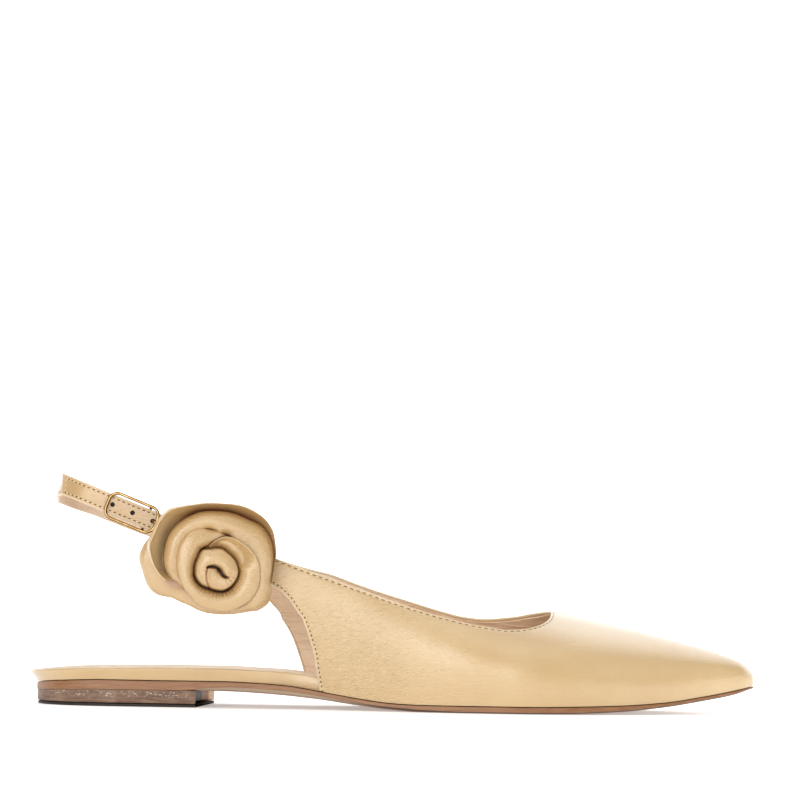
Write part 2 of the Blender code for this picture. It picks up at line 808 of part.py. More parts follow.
def make_frame(material, parent):
    """The buckle's rounded frame with its middle bar held inwards on two legs, as one piece."""
    run = frame_corners(FRAME_LENGTH - FRAME_WIRE, FRAME_WIDTH - FRAME_WIRE, FRAME_CORNER)
    bm = bmesh.new()
    tube(bm, [at_buckle(a, b + FRAME_SHIFT, FRAME_OUT) for a, b in run], FRAME_WIRE / 2, closed=True)
    frame = new_object("buckle_frame", bm, material, parent, math.radians(60))
    half = (FRAME_WIDTH - FRAME_WIRE) / 2
    bend = FRAME_WIRE * 0.6
    staple = [
        at_buckle(BAR_ALONG, -half + FRAME_SHIFT, FRAME_OUT + FRAME_WIRE * 0.1),
        at_buckle(BAR_ALONG, -half + FRAME_SHIFT, BAR_OUT + bend),
        at_buckle(BAR_ALONG, -half + bend + FRAME_SHIFT, BAR_OUT),
        at_buckle(BAR_ALONG, half - bend + FRAME_SHIFT, BAR_OUT),
        at_buckle(BAR_ALONG, half + FRAME_SHIFT, BAR_OUT + bend),
        at_buckle(BAR_ALONG, half + FRAME_SHIFT, FRAME_OUT + FRAME_WIRE * 0.1),
    ]
    bm = bmesh.new()
    tube_along(bm, staple, BAR_RADIUS * 0.96)
    bar = new_object("bar_maker", bm, material, parent)
    bar.hide_render = True
    bar.display_type = "WIRE"
    join = frame.modifiers.new("bar", "BOOLEAN")
    join.operation = "UNION"
    join.object = bar
    return frame


def tube_along(bm, points, radius, sides=8):
    """A wire that lies in a plane square to the strap's length, so its rings turn about ALONG."""
    rings = []
    for i, p in enumerate(points):
        ahead = (points[min(i + 1, len(points) - 1)] - points[max(i - 1, 0)]).normalized()
        up = ALONG.cross(ahead).normalized()
        turn = [2 * math.pi * (k + 0.5) / sides for k in range(sides)]
        rings.append([bm.verts.new(p + ALONG * radius * math.cos(t) + up * radius * math.sin(t)) for t in turn])
    grid_faces(bm, rings, closed=True)
    bm.faces.new(rings[0])
    bm.faces.new(rings[-1])


def tube_lengthwise(bm, points, radius, sides=8):
    """A wire that lies in the plane along and out from the strap, so its rings turn about ACROSS."""
    rings = []
    for i, p in enumerate(points):
        ahead = (points[min(i + 1, len(points) - 1)] - points[max(i - 1, 0)]).normalized()
        up = ACROSS.cross(ahead).normalized()
        turn = [2 * math.pi * (k + 0.5) / sides for k in range(sides)]
        rings.append([bm.verts.new(p + ACROSS * radius * math.cos(t) + up * radius * math.sin(t)) for t in turn])
    grid_faces(bm, rings, closed=True)
    bm.faces.new(rings[0])
    bm.faces.new(rings[-1])


def make_prong(material, parent):
    """The prong: hooked round the bar, lying under the strap, up through a hole and over the frame's end."""
    marks = []
    for degrees in (-70, -115, -160, 155, 120, 90):
        t = math.radians(degrees)
        marks.append((BAR_ALONG + PRONG_OUT * math.cos(t), BAR_OUT + PRONG_OUT * math.sin(t)))
    under = -(STRAP_THICK / 2 + SEAM_GAP + PRONG_WIRE / 2)
    over = FRAME_OUT + FRAME_WIRE / 2 + SEAM_GAP + PRONG_WIRE / 2
    hole = HOLE_SPACING + 0.0002
    marks += [
        (hole - 0.0008, under),
        (hole, under * 0.5),
        (hole + 0.0001, over * 0.55),
        (hole + 0.0009, over),
        (FRAME_LENGTH / 2 + 0.0004, over),
    ]
    bm = bmesh.new()
    tube_lengthwise(bm, [at_buckle(a, 0, o) for a, o in marks], PRONG_WIRE / 2)
    return new_object("buckle_prong", bm, material, parent, math.radians(60))


def make_tab(material, parent):
    """The short tab that holds the buckle: looped round its bar, with a slot for the prong, and sewn inside
    the end of the outer quarter."""
    loop, half = BAR_RADIUS + SEAM_GAP + TAB_THICK / 2, TAB_WIDTH / 2
    end = (TAB_END_ALONG - BUCKLE_ALONG) / math.cos(STRAP_RISE)
    sewn = (TOPLINE[LATERAL]["along"][0] * SHOE_LENGTH - BUCKLE_ALONG) / math.cos(STRAP_RISE)

    def lies(s, across):
        """How far out the tab's middle lies: level with the bar, then just inside the quarter's wall."""
        t = min(1.0, max(0.0, (s - BAR_ALONG - 4 * loop) / (sewn - BAR_ALONG - 4 * loop - STRAP_WIDTH / 2)))
        wall = quarter_inside(max(s, sewn), across) + TAB_THICK + 2 * SEAM_GAP
        return BAR_OUT + (-wall - BAR_OUT) * t * t * (3 - 2 * t)

    steps = 8
    turn = [math.radians(60 + 240 * i / steps) for i in range(steps + 1)]
    rows = []
    for across in (-half, half):
        flat = [BAR_ALONG + loop * 2.4 + (end - BAR_ALONG - loop * 2.4) * (1 - i / 8) for i in range(9)]
        outer_side = [(s, lies(s, across) + TAB_THICK) for s in flat]
        inner_side = [(s, lies(s, across) - TAB_THICK) for s in flat]
        reach = loop + TAB_THICK / 2
        round_bar = [(BAR_ALONG + reach * math.cos(t), BAR_OUT + reach * math.sin(t)) for t in turn]
        rows.append([at_buckle(s, across, o) for s, o in outer_side + round_bar + inner_side[::-1]])
    bm = bmesh.new()
    rows = [[bm.verts.new(p) for p in row] for row in rows]
    grid_faces(bm, rows, closed=True)
    for row in rows:
        bm.faces.new(row)
    tab = new_object("buckle_tab", bm, material, parent, math.radians(40))
    room = BAR_RADIUS + SEAM_GAP
    hole = [(room * math.cos(math.pi * i / 6), room * math.sin(math.pi * i / 6)) for i in range(12)]
    cut_with(tab, "bar_hole", hole, half * 1.5, parent)
    slot_half, reach = PRONG_WIRE / 2 + SEAM_GAP * 1.5, loop + TAB_THICK + 2 * SEAM_GAP
    slot = [(-reach, -reach), (reach * 1.3, -reach), (reach * 1.3, reach), (-reach, reach)]
    cut_with(tab, "prong_slot", slot, slot_half, parent)
    return tab


def cut_with(target, name, rim, half_width, parent):
    """Cuts a straight hole across the strap's width, with its rim given in along and out from the bar."""
    bm = bmesh.new()
    rows = []
    for w in (-half_width, half_width):
        rows.append([bm.verts.new(at_buckle(BAR_ALONG + s, w, BAR_OUT + o)) for s, o in rim])
    grid_faces(bm, rows, closed=True)
    for row in rows:
        bm.faces.new(row)
    cutter = new_object(f"{name}_cutter", bm, target.data.materials[0], parent)
    cutter.hide_render = True
    cutter.display_type = "WIRE"
    cut = target.modifiers.new(name, "BOOLEAN")
    cut.operation = "DIFFERENCE"
    cut.object = cutter


def quarter_at(along, side, height, depth):
    """A point of the quarter's wall, depth in from its outer face, and the wall's outward normal there."""
    around = around_at(along, side, height)
    normal = last_normal(along, side, around)
    return last_point(along, side, around) - normal * depth, normal


def quarter_inside(s, across):
    """How far the outer quarter's inner face lies inside the strap's plane."""
    place = at_buckle(s, across, 0)
    face, _ = quarter_at(place.x / SHOE_LENGTH, LATERAL, place.z, WALL)
    return STRAP_SIDE + face.y


def sling_path(count):
    """The sling strap from inside the inner quarter, round the heel, to inside the outer strap's end."""
    rows = list(zip(SLING_PATH["along"], SLING_PATH["across"], SLING_PATH["height"]))
    first, second = rows[0], rows[1]
    fall = (first[2] - second[2]) * BUCKLE_HEIGHT / ((first[0] - second[0]) * STRAP_SIDE)
    marks, half = [], STRAP_WIDTH / 2 + SEAM_GAP
    for share in SLING_SEWN[MEDIAL]:
        height = first[2] * BUCKLE_HEIGHT + (share * SHOE_LENGTH - first[0] * STRAP_SIDE) * fall
        low, high = (
            quarter_at(share, MEDIAL, height + h, WALL + 2 * SEAM_GAP + STRAP_THICK / 2) for h in (-half, half)
        )
        marks.append(((low[0] + high[0]) / 2, (high[0] - low[0]).cross(Vector((1, 0, 0))).normalized()))
    places = [Vector((a * STRAP_SIDE, b * STRAP_SIDE, h * BUCKLE_HEIGHT)) for a, b, h in rows]
    for i, place in enumerate(places):
        ahead = places[min(i + 1, len(places) - 1)] - places[max(i - 1, 0)]
        out = ahead.cross(Vector((0, 0, 1))).normalized()
        out.z = math.tan(SLING_LEAN) * out.x**2
        marks.append((place, out.normalized()))
    for step in SLING_SEWN[LATERAL]:
        middle, out = strap_line(STRAP_START + step * STRAP_WIDTH)
        marks.append((middle - out * (STRAP_THICK + SEAM_GAP), out))
    weight = 0.001
    found = through_points([(*p, *(n * weight)) for p, n in marks], count)
    middles = [Vector(row[:3]) for row in found]
    path = []
    for i, row in enumerate(found):
        ahead = (middles[min(i + 1, count - 1)] - middles[max(i - 1, 0)]).normalized()
        out = Vector(row[3:]).normalized()
        across = out.cross(ahead).normalized()
        across = -across if across.z < 0 else across
        out = across.cross(ahead) if across.cross(ahead).dot(out) > 0 else ahead.cross(across)
        path.append((middles[i], across, out))
    return path


# The rosette's own directions: to the toe side, upwards, and outwards
ROSE_SIDE = Vector((math.cos(ROSETTE_TILT), math.sin(ROSETTE_TILT), 0))
ROSE_UP = Vector((0, 0, 1))
ROSE_OUT = Vector((math.sin(ROSETTE_TILT), -math.cos(ROSETTE_TILT), 0))


def ring_line(rows):
    """A smooth closed line of reach round the rosette."""
    angles = list(rows["angle"])
    reaches = [r * ROSETTE_REACH for r in rows["reach"]]
    points = [(math.cos(math.radians(a)) * r, math.sin(math.radians(a)) * r) for a, r in zip(angles, reaches)]
    fine = through_points(points, 360, closed=True)
    fine_angles = np.unwrap([math.atan2(y, x) for x, y in fine])
    fine_reach = [math.hypot(x, y) for x, y in fine]
    low = fine_angles[0]

    def reach(angle):
        t = math.radians(angle)
        t = low + (t - low) % (2 * math.pi)
        return float(np.interp(t, np.append(fine_angles, low + 2 * math.pi), fine_reach + [fine_reach[0]]))

    return reach


sheet_edge, cup_edge, middle_edge = ring_line(SHEET_EDGE), ring_line(CUP_EDGE), ring_line(MIDDLE_EDGE)
inner_edge, bud_edge = ring_line(INNER_EDGE), ring_line(BUD_EDGE)


def rosette_seat():
    """The rosette's middle, set so that its back just clears the quarter and the buckle's frame behind it."""
    under = [
        at_buckle(FRAME_LENGTH / 2, 0, FRAME_OUT + FRAME_WIRE / 2 + PRONG_WIRE + 2 * SEAM_GAP - BASE_DEPTH),
        at_buckle(TAIL_LENGTH, 0, STRAP_THICK / 2),
    ]
    top, back = lines_of(TOPLINE[LATERAL])["height"], lines_of(BACK_EDGE[LATERAL])["height"]
    for along in np.linspace(TOPLINE[LATERAL]["along"][0], (ROSETTE_ALONG + ROSETTE_REACH) / SHOE_LENGTH, 24):
        for share in np.linspace(0, 1, 12):
            height = THROAT_HEIGHT * (back(along) + (top(along) - back(along)) * share)
            beside, above = along * SHOE_LENGTH - ROSETTE_ALONG, height - ROSETTE_HEIGHT
            if math.hypot(beside, above) < sheet_edge(math.degrees(math.atan2(above, beside))):
                under.append(quarter_at(along, LATERAL, height, 0)[0])
    slope = math.tan(ROSETTE_TILT)
    y = min(p.y - slope * (p.x - ROSETTE_ALONG) for p in under) - SEAM_GAP / math.cos(ROSETTE_TILT)
    return Vector((ROSETTE_ALONG, y, ROSETTE_HEIGHT))


ROSE_AT = rosette_seat()


def at_rosette(angle, reach, front):
    """A point of the rosette by its angle, its reach from the middle and its depth in front of the back."""
    t = math.radians(angle)
    return ROSE_AT + ROSE_SIDE * (reach * math.cos(t)) + ROSE_UP * (reach * math.sin(t)) + ROSE_OUT * front


ROLL_BACK = BASE_DEPTH + SEAM_GAP


def disc(name, edge, face, back, count, material, parent):
    """A round piece of the rosette with a domed front: face gives its depth from the middle outwards."""
    bm = bmesh.new()
    heart_front = bm.verts.new(at_rosette(0, 0, face(0.0)))
    heart_back = bm.verts.new(at_rosette(0, 0, back))
    shares = (0.35, 0.7, 0.9, 1.0)
    angles = [360 * i / count for i in range(count)]
    fronts = [[bm.verts.new(at_rosette(a, edge(a) * s, face(s))) for a in angles] for s in shares]
    rim = [bm.verts.new(at_rosette(a, edge(a) * 0.98, back)) for a in angles]
    grid_faces(bm, fronts + [rim], closed=True)
    for i in range(count):
        j = (i + 1) % count
        add_face(bm, [heart_front, fronts[0][i], fronts[0][j]])
        add_face(bm, [heart_back, rim[i], rim[j]])
    return new_object(name, bm, material, parent, math.radians(40))


def roll(name, inside, outside, face, count, material, parent, start=0.0, end=360.0):
    """A rolled band of the rosette between two edges. Where it isn't a whole ring, its ends taper."""
    whole = end - start >= 360
    rings = []
    bm = bmesh.new()
    steps = count if whole else count + 1
    for i in range(steps):
        share = i / count
        angle = start + (end - start) * share
        low = inside(angle) + SEAM_GAP
        high = max(outside(angle), low + 0.0012)
        if not whole:
            fade = min(1.0, share * 7, (1 - share) * 7)
            high = low + 0.0010 + (high - low - 0.0010) * math.sin(fade * math.pi / 2)
        depth = 1.0 if whole else 0.72 + 0.28 * math.sin(min(1.0, share * 7, (1 - share) * 7) * math.pi / 2)
        ring = [at_rosette(angle, low, ROLL_BACK)]
        for s in (0.0, 0.2, 0.45, 0.75, 1.0):
            front = ROLL_BACK + (face(s) - ROLL_BACK) * depth
            ring.append(at_rosette(angle, low + (high - low) * s, front))
        ring.append(at_rosette(angle, high - 0.0002, ROLL_BACK))
        rings.append([bm.verts.new(p) for p in ring])
    grid_faces(bm, rings + [rings[0]] if whole else rings, closed=True)
    if not whole:
        bm.faces.new(rings[0])
        bm.faces.new(rings[-1])
    return new_object(name, bm, material, parent, math.radians(40))


def face_line(rows):
    shape = smooth_line(rows["share"], rows["front"])
    return lambda share: shape(share) * ROSETTE_DEPTH


def make_rosette(material, parent):
    sheet = smooth_line((0.0, 0.7, 0.93, 1.0), (1.0, 1.0, 0.85, 0.45))
    disc("rosette_sheet", sheet_edge, lambda s: sheet(s) * BASE_DEPTH, 0.0, 40, material, parent)
    disc("rosette_bud", bud_edge, face_line(BUD_FACE), ROLL_BACK, 22, material, parent)
    roll("rosette_inner_roll", bud_edge, inner_edge, face_line(INNER_FACE), 34, material, parent)
    roll("rosette_middle_roll", inner_edge, middle_edge, face_line(MIDDLE_FACE), 34, material, parent, -70, 222)
    roll("rosette_cup", middle_edge, cup_edge, face_line(CUP_FACE), 28, material, parent, -14, 190)


def material_of(name, colour, roughness, metallic=0.0):
    """A plain material with the real piece's colour and gloss."""
    material = bpy.data.materials.new(name)
    material.use_nodes = True
    shader = material.node_tree.nodes["Principled BSDF"]
    shader.inputs["Base Color"].default_value = (*colour, 1)
    shader.inputs["Roughness"].default_value = roughness
    shader.inputs["Metallic"].default_value = metallic
    return material


def main():
    for old in list(bpy.data.objects):
        bpy.data.objects.remove(old)
    leather = material_of("leather", (0.74, 0.53, 0.28), 0.42)
    lining = material_of("lining", (0.62, 0.40, 0.28), 0.6)
    sole = material_of("sole_edge", (0.33, 0.15, 0.08), 0.45)
    stack = material_of("heel_stack", (0.24, 0.16, 0.11), 0.5)
    rubber = material_of("top_lift", (0.02, 0.018, 0.016), 0.6)
    gold = material_of("gold", (0.83, 0.60, 0.26), 0.2, 1.0)

    shoe = bpy.data.objects.new("shoe", None)
    bpy.context.scene.collection.objects.link(shoe)
    shoe.location = (-HEEL_CENTRE, 0, 0)

    make_upper(leather, shoe)
    make_outsole(sole, shoe)
    make_insole(lining, shoe)
    heel_stack("heel_block", TOP_LIFT + SEAM_GAP, None, HEEL_INSET, stack, shoe)
    heel_stack("top_lift", 0.0, TOP_LIFT, HEEL_INSET * 2, rubber, shoe)
    band("sling_strap", sling_path(40), STRAP_WIDTH, STRAP_THICK, leather, shoe)
    make_strap_end(leather, shoe)
    make_tab(leather, shoe)
    make_frame(gold, shoe)
    make_prong(gold, shoe)
    make_rosette(leather, shoe)


main()
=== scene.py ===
"""The looks of a pointed sling back flat: soft leather over a lined upper, stitching, a stacked heel,
a gold buckle and a rolled leather rosette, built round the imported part.
Metres; X to the toe, Y to the inner side, Z up."""

import math

import bmesh
import bpy
import numpy as np
from mathutils import Matrix, Vector
from mathutils.kdtree import KDTree


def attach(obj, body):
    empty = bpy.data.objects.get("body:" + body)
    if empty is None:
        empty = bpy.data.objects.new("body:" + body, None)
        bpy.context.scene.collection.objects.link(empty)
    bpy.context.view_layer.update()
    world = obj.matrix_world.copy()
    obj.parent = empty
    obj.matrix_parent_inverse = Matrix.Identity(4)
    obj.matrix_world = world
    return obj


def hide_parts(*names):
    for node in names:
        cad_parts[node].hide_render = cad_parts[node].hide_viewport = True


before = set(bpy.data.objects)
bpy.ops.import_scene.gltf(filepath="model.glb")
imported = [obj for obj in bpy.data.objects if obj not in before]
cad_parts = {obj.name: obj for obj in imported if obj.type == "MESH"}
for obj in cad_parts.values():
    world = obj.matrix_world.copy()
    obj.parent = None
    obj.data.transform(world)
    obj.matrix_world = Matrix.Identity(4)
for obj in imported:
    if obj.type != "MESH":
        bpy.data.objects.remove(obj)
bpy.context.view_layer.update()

MM = 0.001
LATERAL, MEDIAL = -1, 1

# Sizes that the dressed pieces share with the part, measured from the back of the sole
SHOE_LENGTH, BALL_WIDTH, THROAT_HEIGHT = 0.2685, 0.080, 0.0369
HEEL_SEAT, TOE_SPRING, FOREFOOT_SOLE, HEEL_TOP, TOE_LIFT = 0.0094, 0.0103, 0.0024, 0.0061, 0.0096
SEAM_GAP, WALL, TUCK, NOSE, NOSE_FLAT = 0.0003, 0.0014, 0.30, 0.006, 0.0028
CORNER_RIB, THROAT_ALONG, SOLE_BACK, HEEL_ROUND = 0.42, 0.7207, 0.0035, 0.024
INSOLE_THICK, INSOLE_FLARE, INSOLE_DIP = 0.0043, 0.0021, 0.0008
HEEL_LENGTH, BREAST_HOLLOW, BREAST_SLANT, TOP_LIFT, HEEL_CENTRE = 0.0620, 0.0032, 0.002, 0.001, 0.030
STRAP_WIDTH, STRAP_THICK, STRAP_RISE, STRAP_SIDE = 0.0072, 0.0015, math.radians(21.4), 0.0295
BUCKLE_ALONG, BUCKLE_HEIGHT, STRAP_END_ALONG, STRAP_END_SLANT = 0.0395, 0.0699, 0.0134, 0.85
TAIL_LENGTH, TAIL_TIP, LOOP_TURN, LOOP_DEPTH = 0.013, 0.45, 0.0115, 0.0077
HOLE_SPACING, HOLE_RADIUS, HOLE_SHIFT = 0.00785, 0.0009, 0.0002
HOLE_SUNK, HOLE_OVERLAP, HOLE_DEPTH = 0.00003, 0.0002, 0.0003
FRAME_LENGTH, FRAME_WIDTH, FRAME_WIRE, FRAME_CORNER, FRAME_SHIFT = 0.020, 0.0106, 0.0011, 0.0032, -0.0001
BAR_ALONG, PRONG_WIRE = 0.0054, 0.001
SLING_LEAN = math.radians(19)
ROSETTE_ALONG, ROSETTE_HEIGHT, ROSETTE_TILT = 0.0701, 0.0495, math.radians(7)


def table(columns, *rows):
    """Rows of given shares, as a dictionary of named columns."""
    return dict(zip(columns.split(), zip(*rows)))


OUTLINE = table(
    "along swing lateral medial",
    (0.00, 0.000, 0.318, 0.318),
    (0.10, 0.000, 0.322, 0.322),
    (0.15, 0.000, 0.325, 0.319),
    (0.20, 0.000, 0.323, 0.308),
    (0.25, 0.000, 0.320, 0.290),
    (0.30, 0.000, 0.325, 0.273),
    (0.35, 0.000, 0.338, 0.265),
    (0.40, 0.000, 0.358, 0.269),
    (0.45, 0.000, 0.388, 0.292),
    (0.50, 0.000, 0.425, 0.333),
    (0.56, 0.000, 0.461, 0.388),
    (0.61, 0.000, 0.479, 0.430),
    (0.66, 0.000, 0.480, 0.464),
    (0.72, 0.000, 0.454, 0.472),
    (0.78, 0.004, 0.395, 0.435),
    (0.84, 0.010, 0.315, 0.355),
    (0.90, 0.016, 0.224, 0.256),
    (0.95, 0.021, 0.140, 0.158),
    (0.98, 0.024, 0.083, 0.090),
    (1.00, 0.025, 0.048, 0.050),
)
PROFILE = table(
    "along seat spring under_seat under_spring",
    (0.000, 0.70, 0.00, 0.79, 0.00),
    (0.050, 0.91, 0.00, 0.93, 0.00),
    (0.110, 1.00, 0.00, 1.00, 0.00),
    (0.275, 1.00, 0.00, 0.98, 0.00),
    (0.305, 0.96, 0.00, 0.94, 0.00),
    (0.355, 0.85, 0.00, 0.81, 0.00),
    (0.405, 0.57, 0.00, 0.60, 0.00),
    (0.450, 0.29, 0.00, 0.34, 0.00),
    (0.500, 0.06, 0.00, 0.10, 0.00),
    (0.540, 0.00, 0.00, 0.00, 0.00),
    (0.690, 0.00, 0.00, 0.00, 0.00),
    (0.730, 0.00, 0.02, 0.00, 0.01),
    (0.810, 0.00, 0.09, 0.00, 0.10),
    (0.870, 0.00, 0.23, 0.00, 0.27),
    (0.930, 0.00, 0.53, 0.00, 0.53),
    (0.970, 0.00, 0.78, 0.00, 0.74),
    (1.000, 0.00, 1.00, 0.00, 1.00),
)
LAST = table(
    "along lateral medial widest cone ridge fullness",
    (0.25, 0.366, 0.354, 0.60, 2.30, 0.000, 2.7),
    (0.34, 0.375, 0.360, 0.63, 2.16, 0.000, 2.7),
    (0.40, 0.394, 0.366, 0.60, 1.95, 0.006, 2.6),
    (0.45, 0.418, 0.379, 0.51, 1.72, 0.012, 2.5),
    (0.50, 0.450, 0.402, 0.43, 1.51, 0.020, 2.4),
    (0.56, 0.482, 0.435, 0.35, 1.31, 0.031, 2.2),
    (0.61, 0.499, 0.465, 0.30, 1.18, 0.044, 2.1),
    (0.66, 0.500, 0.491, 0.26, 1.08, 0.050, 2.0),
    (0.72, 0.475, 0.495, 0.23, 1.00, 0.050, 2.0),
    (0.78, 0.417, 0.455, 0.21, 0.906, 0.044, 2.0),
    (0.84, 0.335, 0.375, 0.19, 0.811, 0.031, 2.0),
    (0.90, 0.241, 0.274, 0.17, 0.704, 0.019, 2.0),
    (0.95, 0.155, 0.173, 0.15, 0.605, 0.010, 2.0),
    (0.98, 0.095, 0.102, 0.13, 0.526, 0.004, 2.0),
    (1.00, 0.058, 0.060, 0.11, 0.468, 0.000, 2.0),
)
TOPLINE = {
    LATERAL: table(
        "along height",
        (0.283, 1.618), (0.346, 1.463), (0.402, 1.322), (0.466, 1.163), (0.523, 1.024),
        (0.566, 0.935), (0.614, 0.856), (0.661, 0.816), (0.693, 0.851), (0.713, 0.927),
    ),
    MEDIAL: table(
        "along height",
        (0.262, 1.655), (0.317, 1.520), (0.372, 1.409), (0.449, 1.246), (0.523, 1.081), (0.568, 0.986),
        (0.597, 0.935), (0.626, 0.913), (0.655, 0.924), (0.683, 0.954), (0.709, 0.992),
    ),
}
BACK_EDGE = {
    LATERAL: table(
        "along height",
        (0.283, 1.392), (0.313, 1.290), (0.340, 1.198), (0.358, 1.089), (0.370, 0.970),
        (0.382, 0.821), (0.389, 0.683), (0.395, 0.542), (0.399, 0.363),
    ),
    MEDIAL: table(
        "along height",
        (0.262, 1.428), (0.290, 1.287), (0.313, 1.152), (0.329, 1.022), (0.343, 0.878),
        (0.357, 0.710), (0.366, 0.553), (0.375, 0.366),
    ),
}
CORNER_ALONG = {LATERAL: 0.4035, MEDIAL: 0.381}
INSOLE_EDGE = {
    LATERAL: table(
        "along top foot",
        (0.0, 1.0, 0.0), (0.25, 0.9, 0.0), (0.33, 0.5, 0.4), (0.385, 0.0, 1.0), (1.0, 0.0, 1.0),
    ),
    MEDIAL: table(
        "along top foot",
        (0.0, 1.0, 0.0), (0.22, 0.9, 0.0), (0.30, 0.5, 0.4), (0.355, 0.0, 1.0), (1.0, 0.0, 1.0),
    ),
}
INSOLE_BODY = table(
    "along thick",
    (0.00, 0.93), (0.11, 0.96), (0.20, 1.05), (0.30, 1.05), (0.39, 1.12), (0.52, 0.75), (0.90, 0.70),
    (1.00, 0.55),
)
SLING_PATH = table(
    "along across height",
    (1.950, 0.842, 0.869), (1.560, 0.855, 0.925), (1.150, 0.842, 0.985), (0.775, 0.745, 1.046),
    (0.540, 0.550, 1.077), (0.413, 0.300, 1.097), (0.367, 0.000, 1.106), (0.392, -0.270, 1.117),
    (0.413, -0.510, 1.130),
)
SLING_SEWN = {LATERAL: (0.03, 0.47, 0.92, 1.40), MEDIAL: (0.333, 0.314, 0.294, 0.275)}


def smooth(places, values, at):
    """Values at some places: through every given one, bending smoothly and never overshooting."""
    x, y = np.array(places, float), np.array(values, float)
    slope = np.diff(y) / np.diff(x)
    product = slope[:-1] * slope[1:]
    turn = np.concatenate([slope[:1], np.zeros(len(x) - 2), slope[-1:]])
    turn[1:-1] = np.where(product > 0, 2 * product / np.where(product > 0, slope[:-1] + slope[1:], 1), 0)
    at = np.clip(at, x[0], x[-1])
    i = np.clip(np.searchsorted(x, at, side="right") - 1, 0, len(x) - 2)
    step = x[i + 1] - x[i]
    t = (at - x[i]) / step
    rise = step * (turn[i] * t * (1 - t) ** 2 - turn[i + 1] * t * t * (1 - t))
    return y[i] * (1 + 2 * t) * (1 - t) ** 2 + y[i + 1] * t * t * (3 - 2 * t) + rise


def look(rows, name, at):
    """A column's value at a share of the shoe's length."""
    return smooth(rows["along"], rows[name], at)


def ease(t):
    """0 to 1 with a soft start and end."""
    t = np.clip(t, 0, 1)
    return t * t * (3 - 2 * t)


def bell(t):
    """1 at 0, falling away on both sides."""
    return np.exp(-np.square(t))


def arc(t):
    """A quarter circle's height: 1 at 0 and 0 at 1."""
    return np.sqrt(np.maximum(0, 1 - np.clip(t, 0, 1) ** 2))


def curve_through(points, shares):
    """Places on a smooth curve through the points, at shares of its length."""
    p = [np.array(q, float) for q in points]
    p = [2 * p[0] - p[1]] + p + [2 * p[-1] - p[-2]]
    fine = []
    for a, b, c, d in zip(p, p[1:], p[2:], p[3:]):
        square, cube = 2 * a - 5 * b + 4 * c - d, 3 * b - a - 3 * c + d
        for t in np.linspace(0, 1, 24, endpoint=False):
            fine.append(0.5 * (2 * b + (c - a) * t + square * t**2 + cube * t**3))
    fine = np.array(fine + [p[-2]])
    run = np.concatenate([[0], np.cumsum(np.linalg.norm(np.diff(fine, axis=0), axis=1))])
    wanted = np.array(shares) * run[-1]
    return np.stack([np.interp(wanted, run, fine[:, i]) for i in range(fine.shape[1])], axis=-1)


def unit(v):
    return v / np.maximum(np.linalg.norm(v, axis=-1, keepdims=True), 1e-12)


# The last and the sole, as the part has them
def nose(along):
    """How wide the shoe still is near the tip of the toe, as a share."""
    return arc((along - (1 - NOSE / SHOE_LENGTH)) / (NOSE / SHOE_LENGTH))


def heel_round(along):
    """How wide the sole is near its back end, as a share."""
    return arc(1 - (along * SHOE_LENGTH - SOLE_BACK) / HEEL_ROUND)


def sole_top(along):
    rise = (HEEL_SEAT - FOREFOOT_SOLE) * look(PROFILE, "seat", along)
    return FOREFOOT_SOLE + rise + (TOE_SPRING - FOREFOOT_SOLE) * look(PROFILE, "spring", along)


def sole_under(along):
    return HEEL_TOP * look(PROFILE, "under_seat", along) + TOE_LIFT * look(PROFILE, "under_spring", along)


def sole_edge(along, side, out=0.0):
    """Where the sole's edge lies on a side, moved out by a distance."""
    name = "lateral" if side == LATERAL else "medial"
    reach = BALL_WIDTH * look(OUTLINE, name, along) * nose(along) * heel_round(along)
    return BALL_WIDTH * look(OUTLINE, "swing", along) + side * np.maximum(0, reach + out)


def section(along, side):
    """The last's section: feather line, widest place, foot, height of the widest, top, ridge and fullness."""
    name = "lateral" if side == LATERAL else "medial"
    centre, round_off = BALL_WIDTH * look(OUTLINE, "swing", along), nose(along)
    widest = centre + side * BALL_WIDTH * look(LAST, name, along) * round_off
    foot = sole_top(along) + SEAM_GAP
    top = foot + NOSE_FLAT + (THROAT_HEIGHT * look(LAST, "cone", along) - foot - NOSE_FLAT) * round_off
    share = np.minimum(0.45, THROAT_HEIGHT * look(LAST, "widest", along) / (top - foot))
    ridge = centre + BALL_WIDTH * look(LAST, "ridge", along) * round_off
    middle = foot + (top - foot) * share
    return sole_edge(along, side), widest, foot, middle, top, ridge, look(LAST, "fullness", along)


def last_point(along, side, around):
    """Points of the last. around is 0 on the ridge, 1 at the widest line and 1 + TUCK on the feather line."""
    along, around = np.broadcast_arrays(np.asarray(along, float), np.asarray(around, float))
    feather, widest, foot, middle, top, ridge, fullness = section(along, side)
    turn = (1 - np.minimum(around, 1)) * math.pi / 2
    power = 2 / fullness
    y_over = ridge + (widest - ridge) * np.maximum(0, np.cos(turn)) ** power
    z_over = middle + (top - middle) * np.maximum(0, np.sin(turn)) ** power
    up = 1 - (np.maximum(around, 1) - 1) / TUCK
    y_under = feather + (widest - feather) * np.sin(up * math.pi / 2)
    z_under = foot + (middle - foot) * up
    over = around <= 1
    y, z = np.where(over, y_over, y_under), np.where(over, z_over, z_under)
    return np.stack([along * SHOE_LENGTH, y, z], axis=-1)


def around_at(along, side, height):
    """How far round the last a height lies."""
    _, _, foot, middle, top, _, fullness = section(along, side)
    share = np.clip((height - middle) / (top - middle), 0, 1)
    over = 1 - np.arcsin(share ** (fullness / 2)) / (math.pi / 2)
    under = 1 + TUCK * (1 - np.maximum(0, height - foot) / (middle - foot))
    return np.where(height >= middle, over, under)


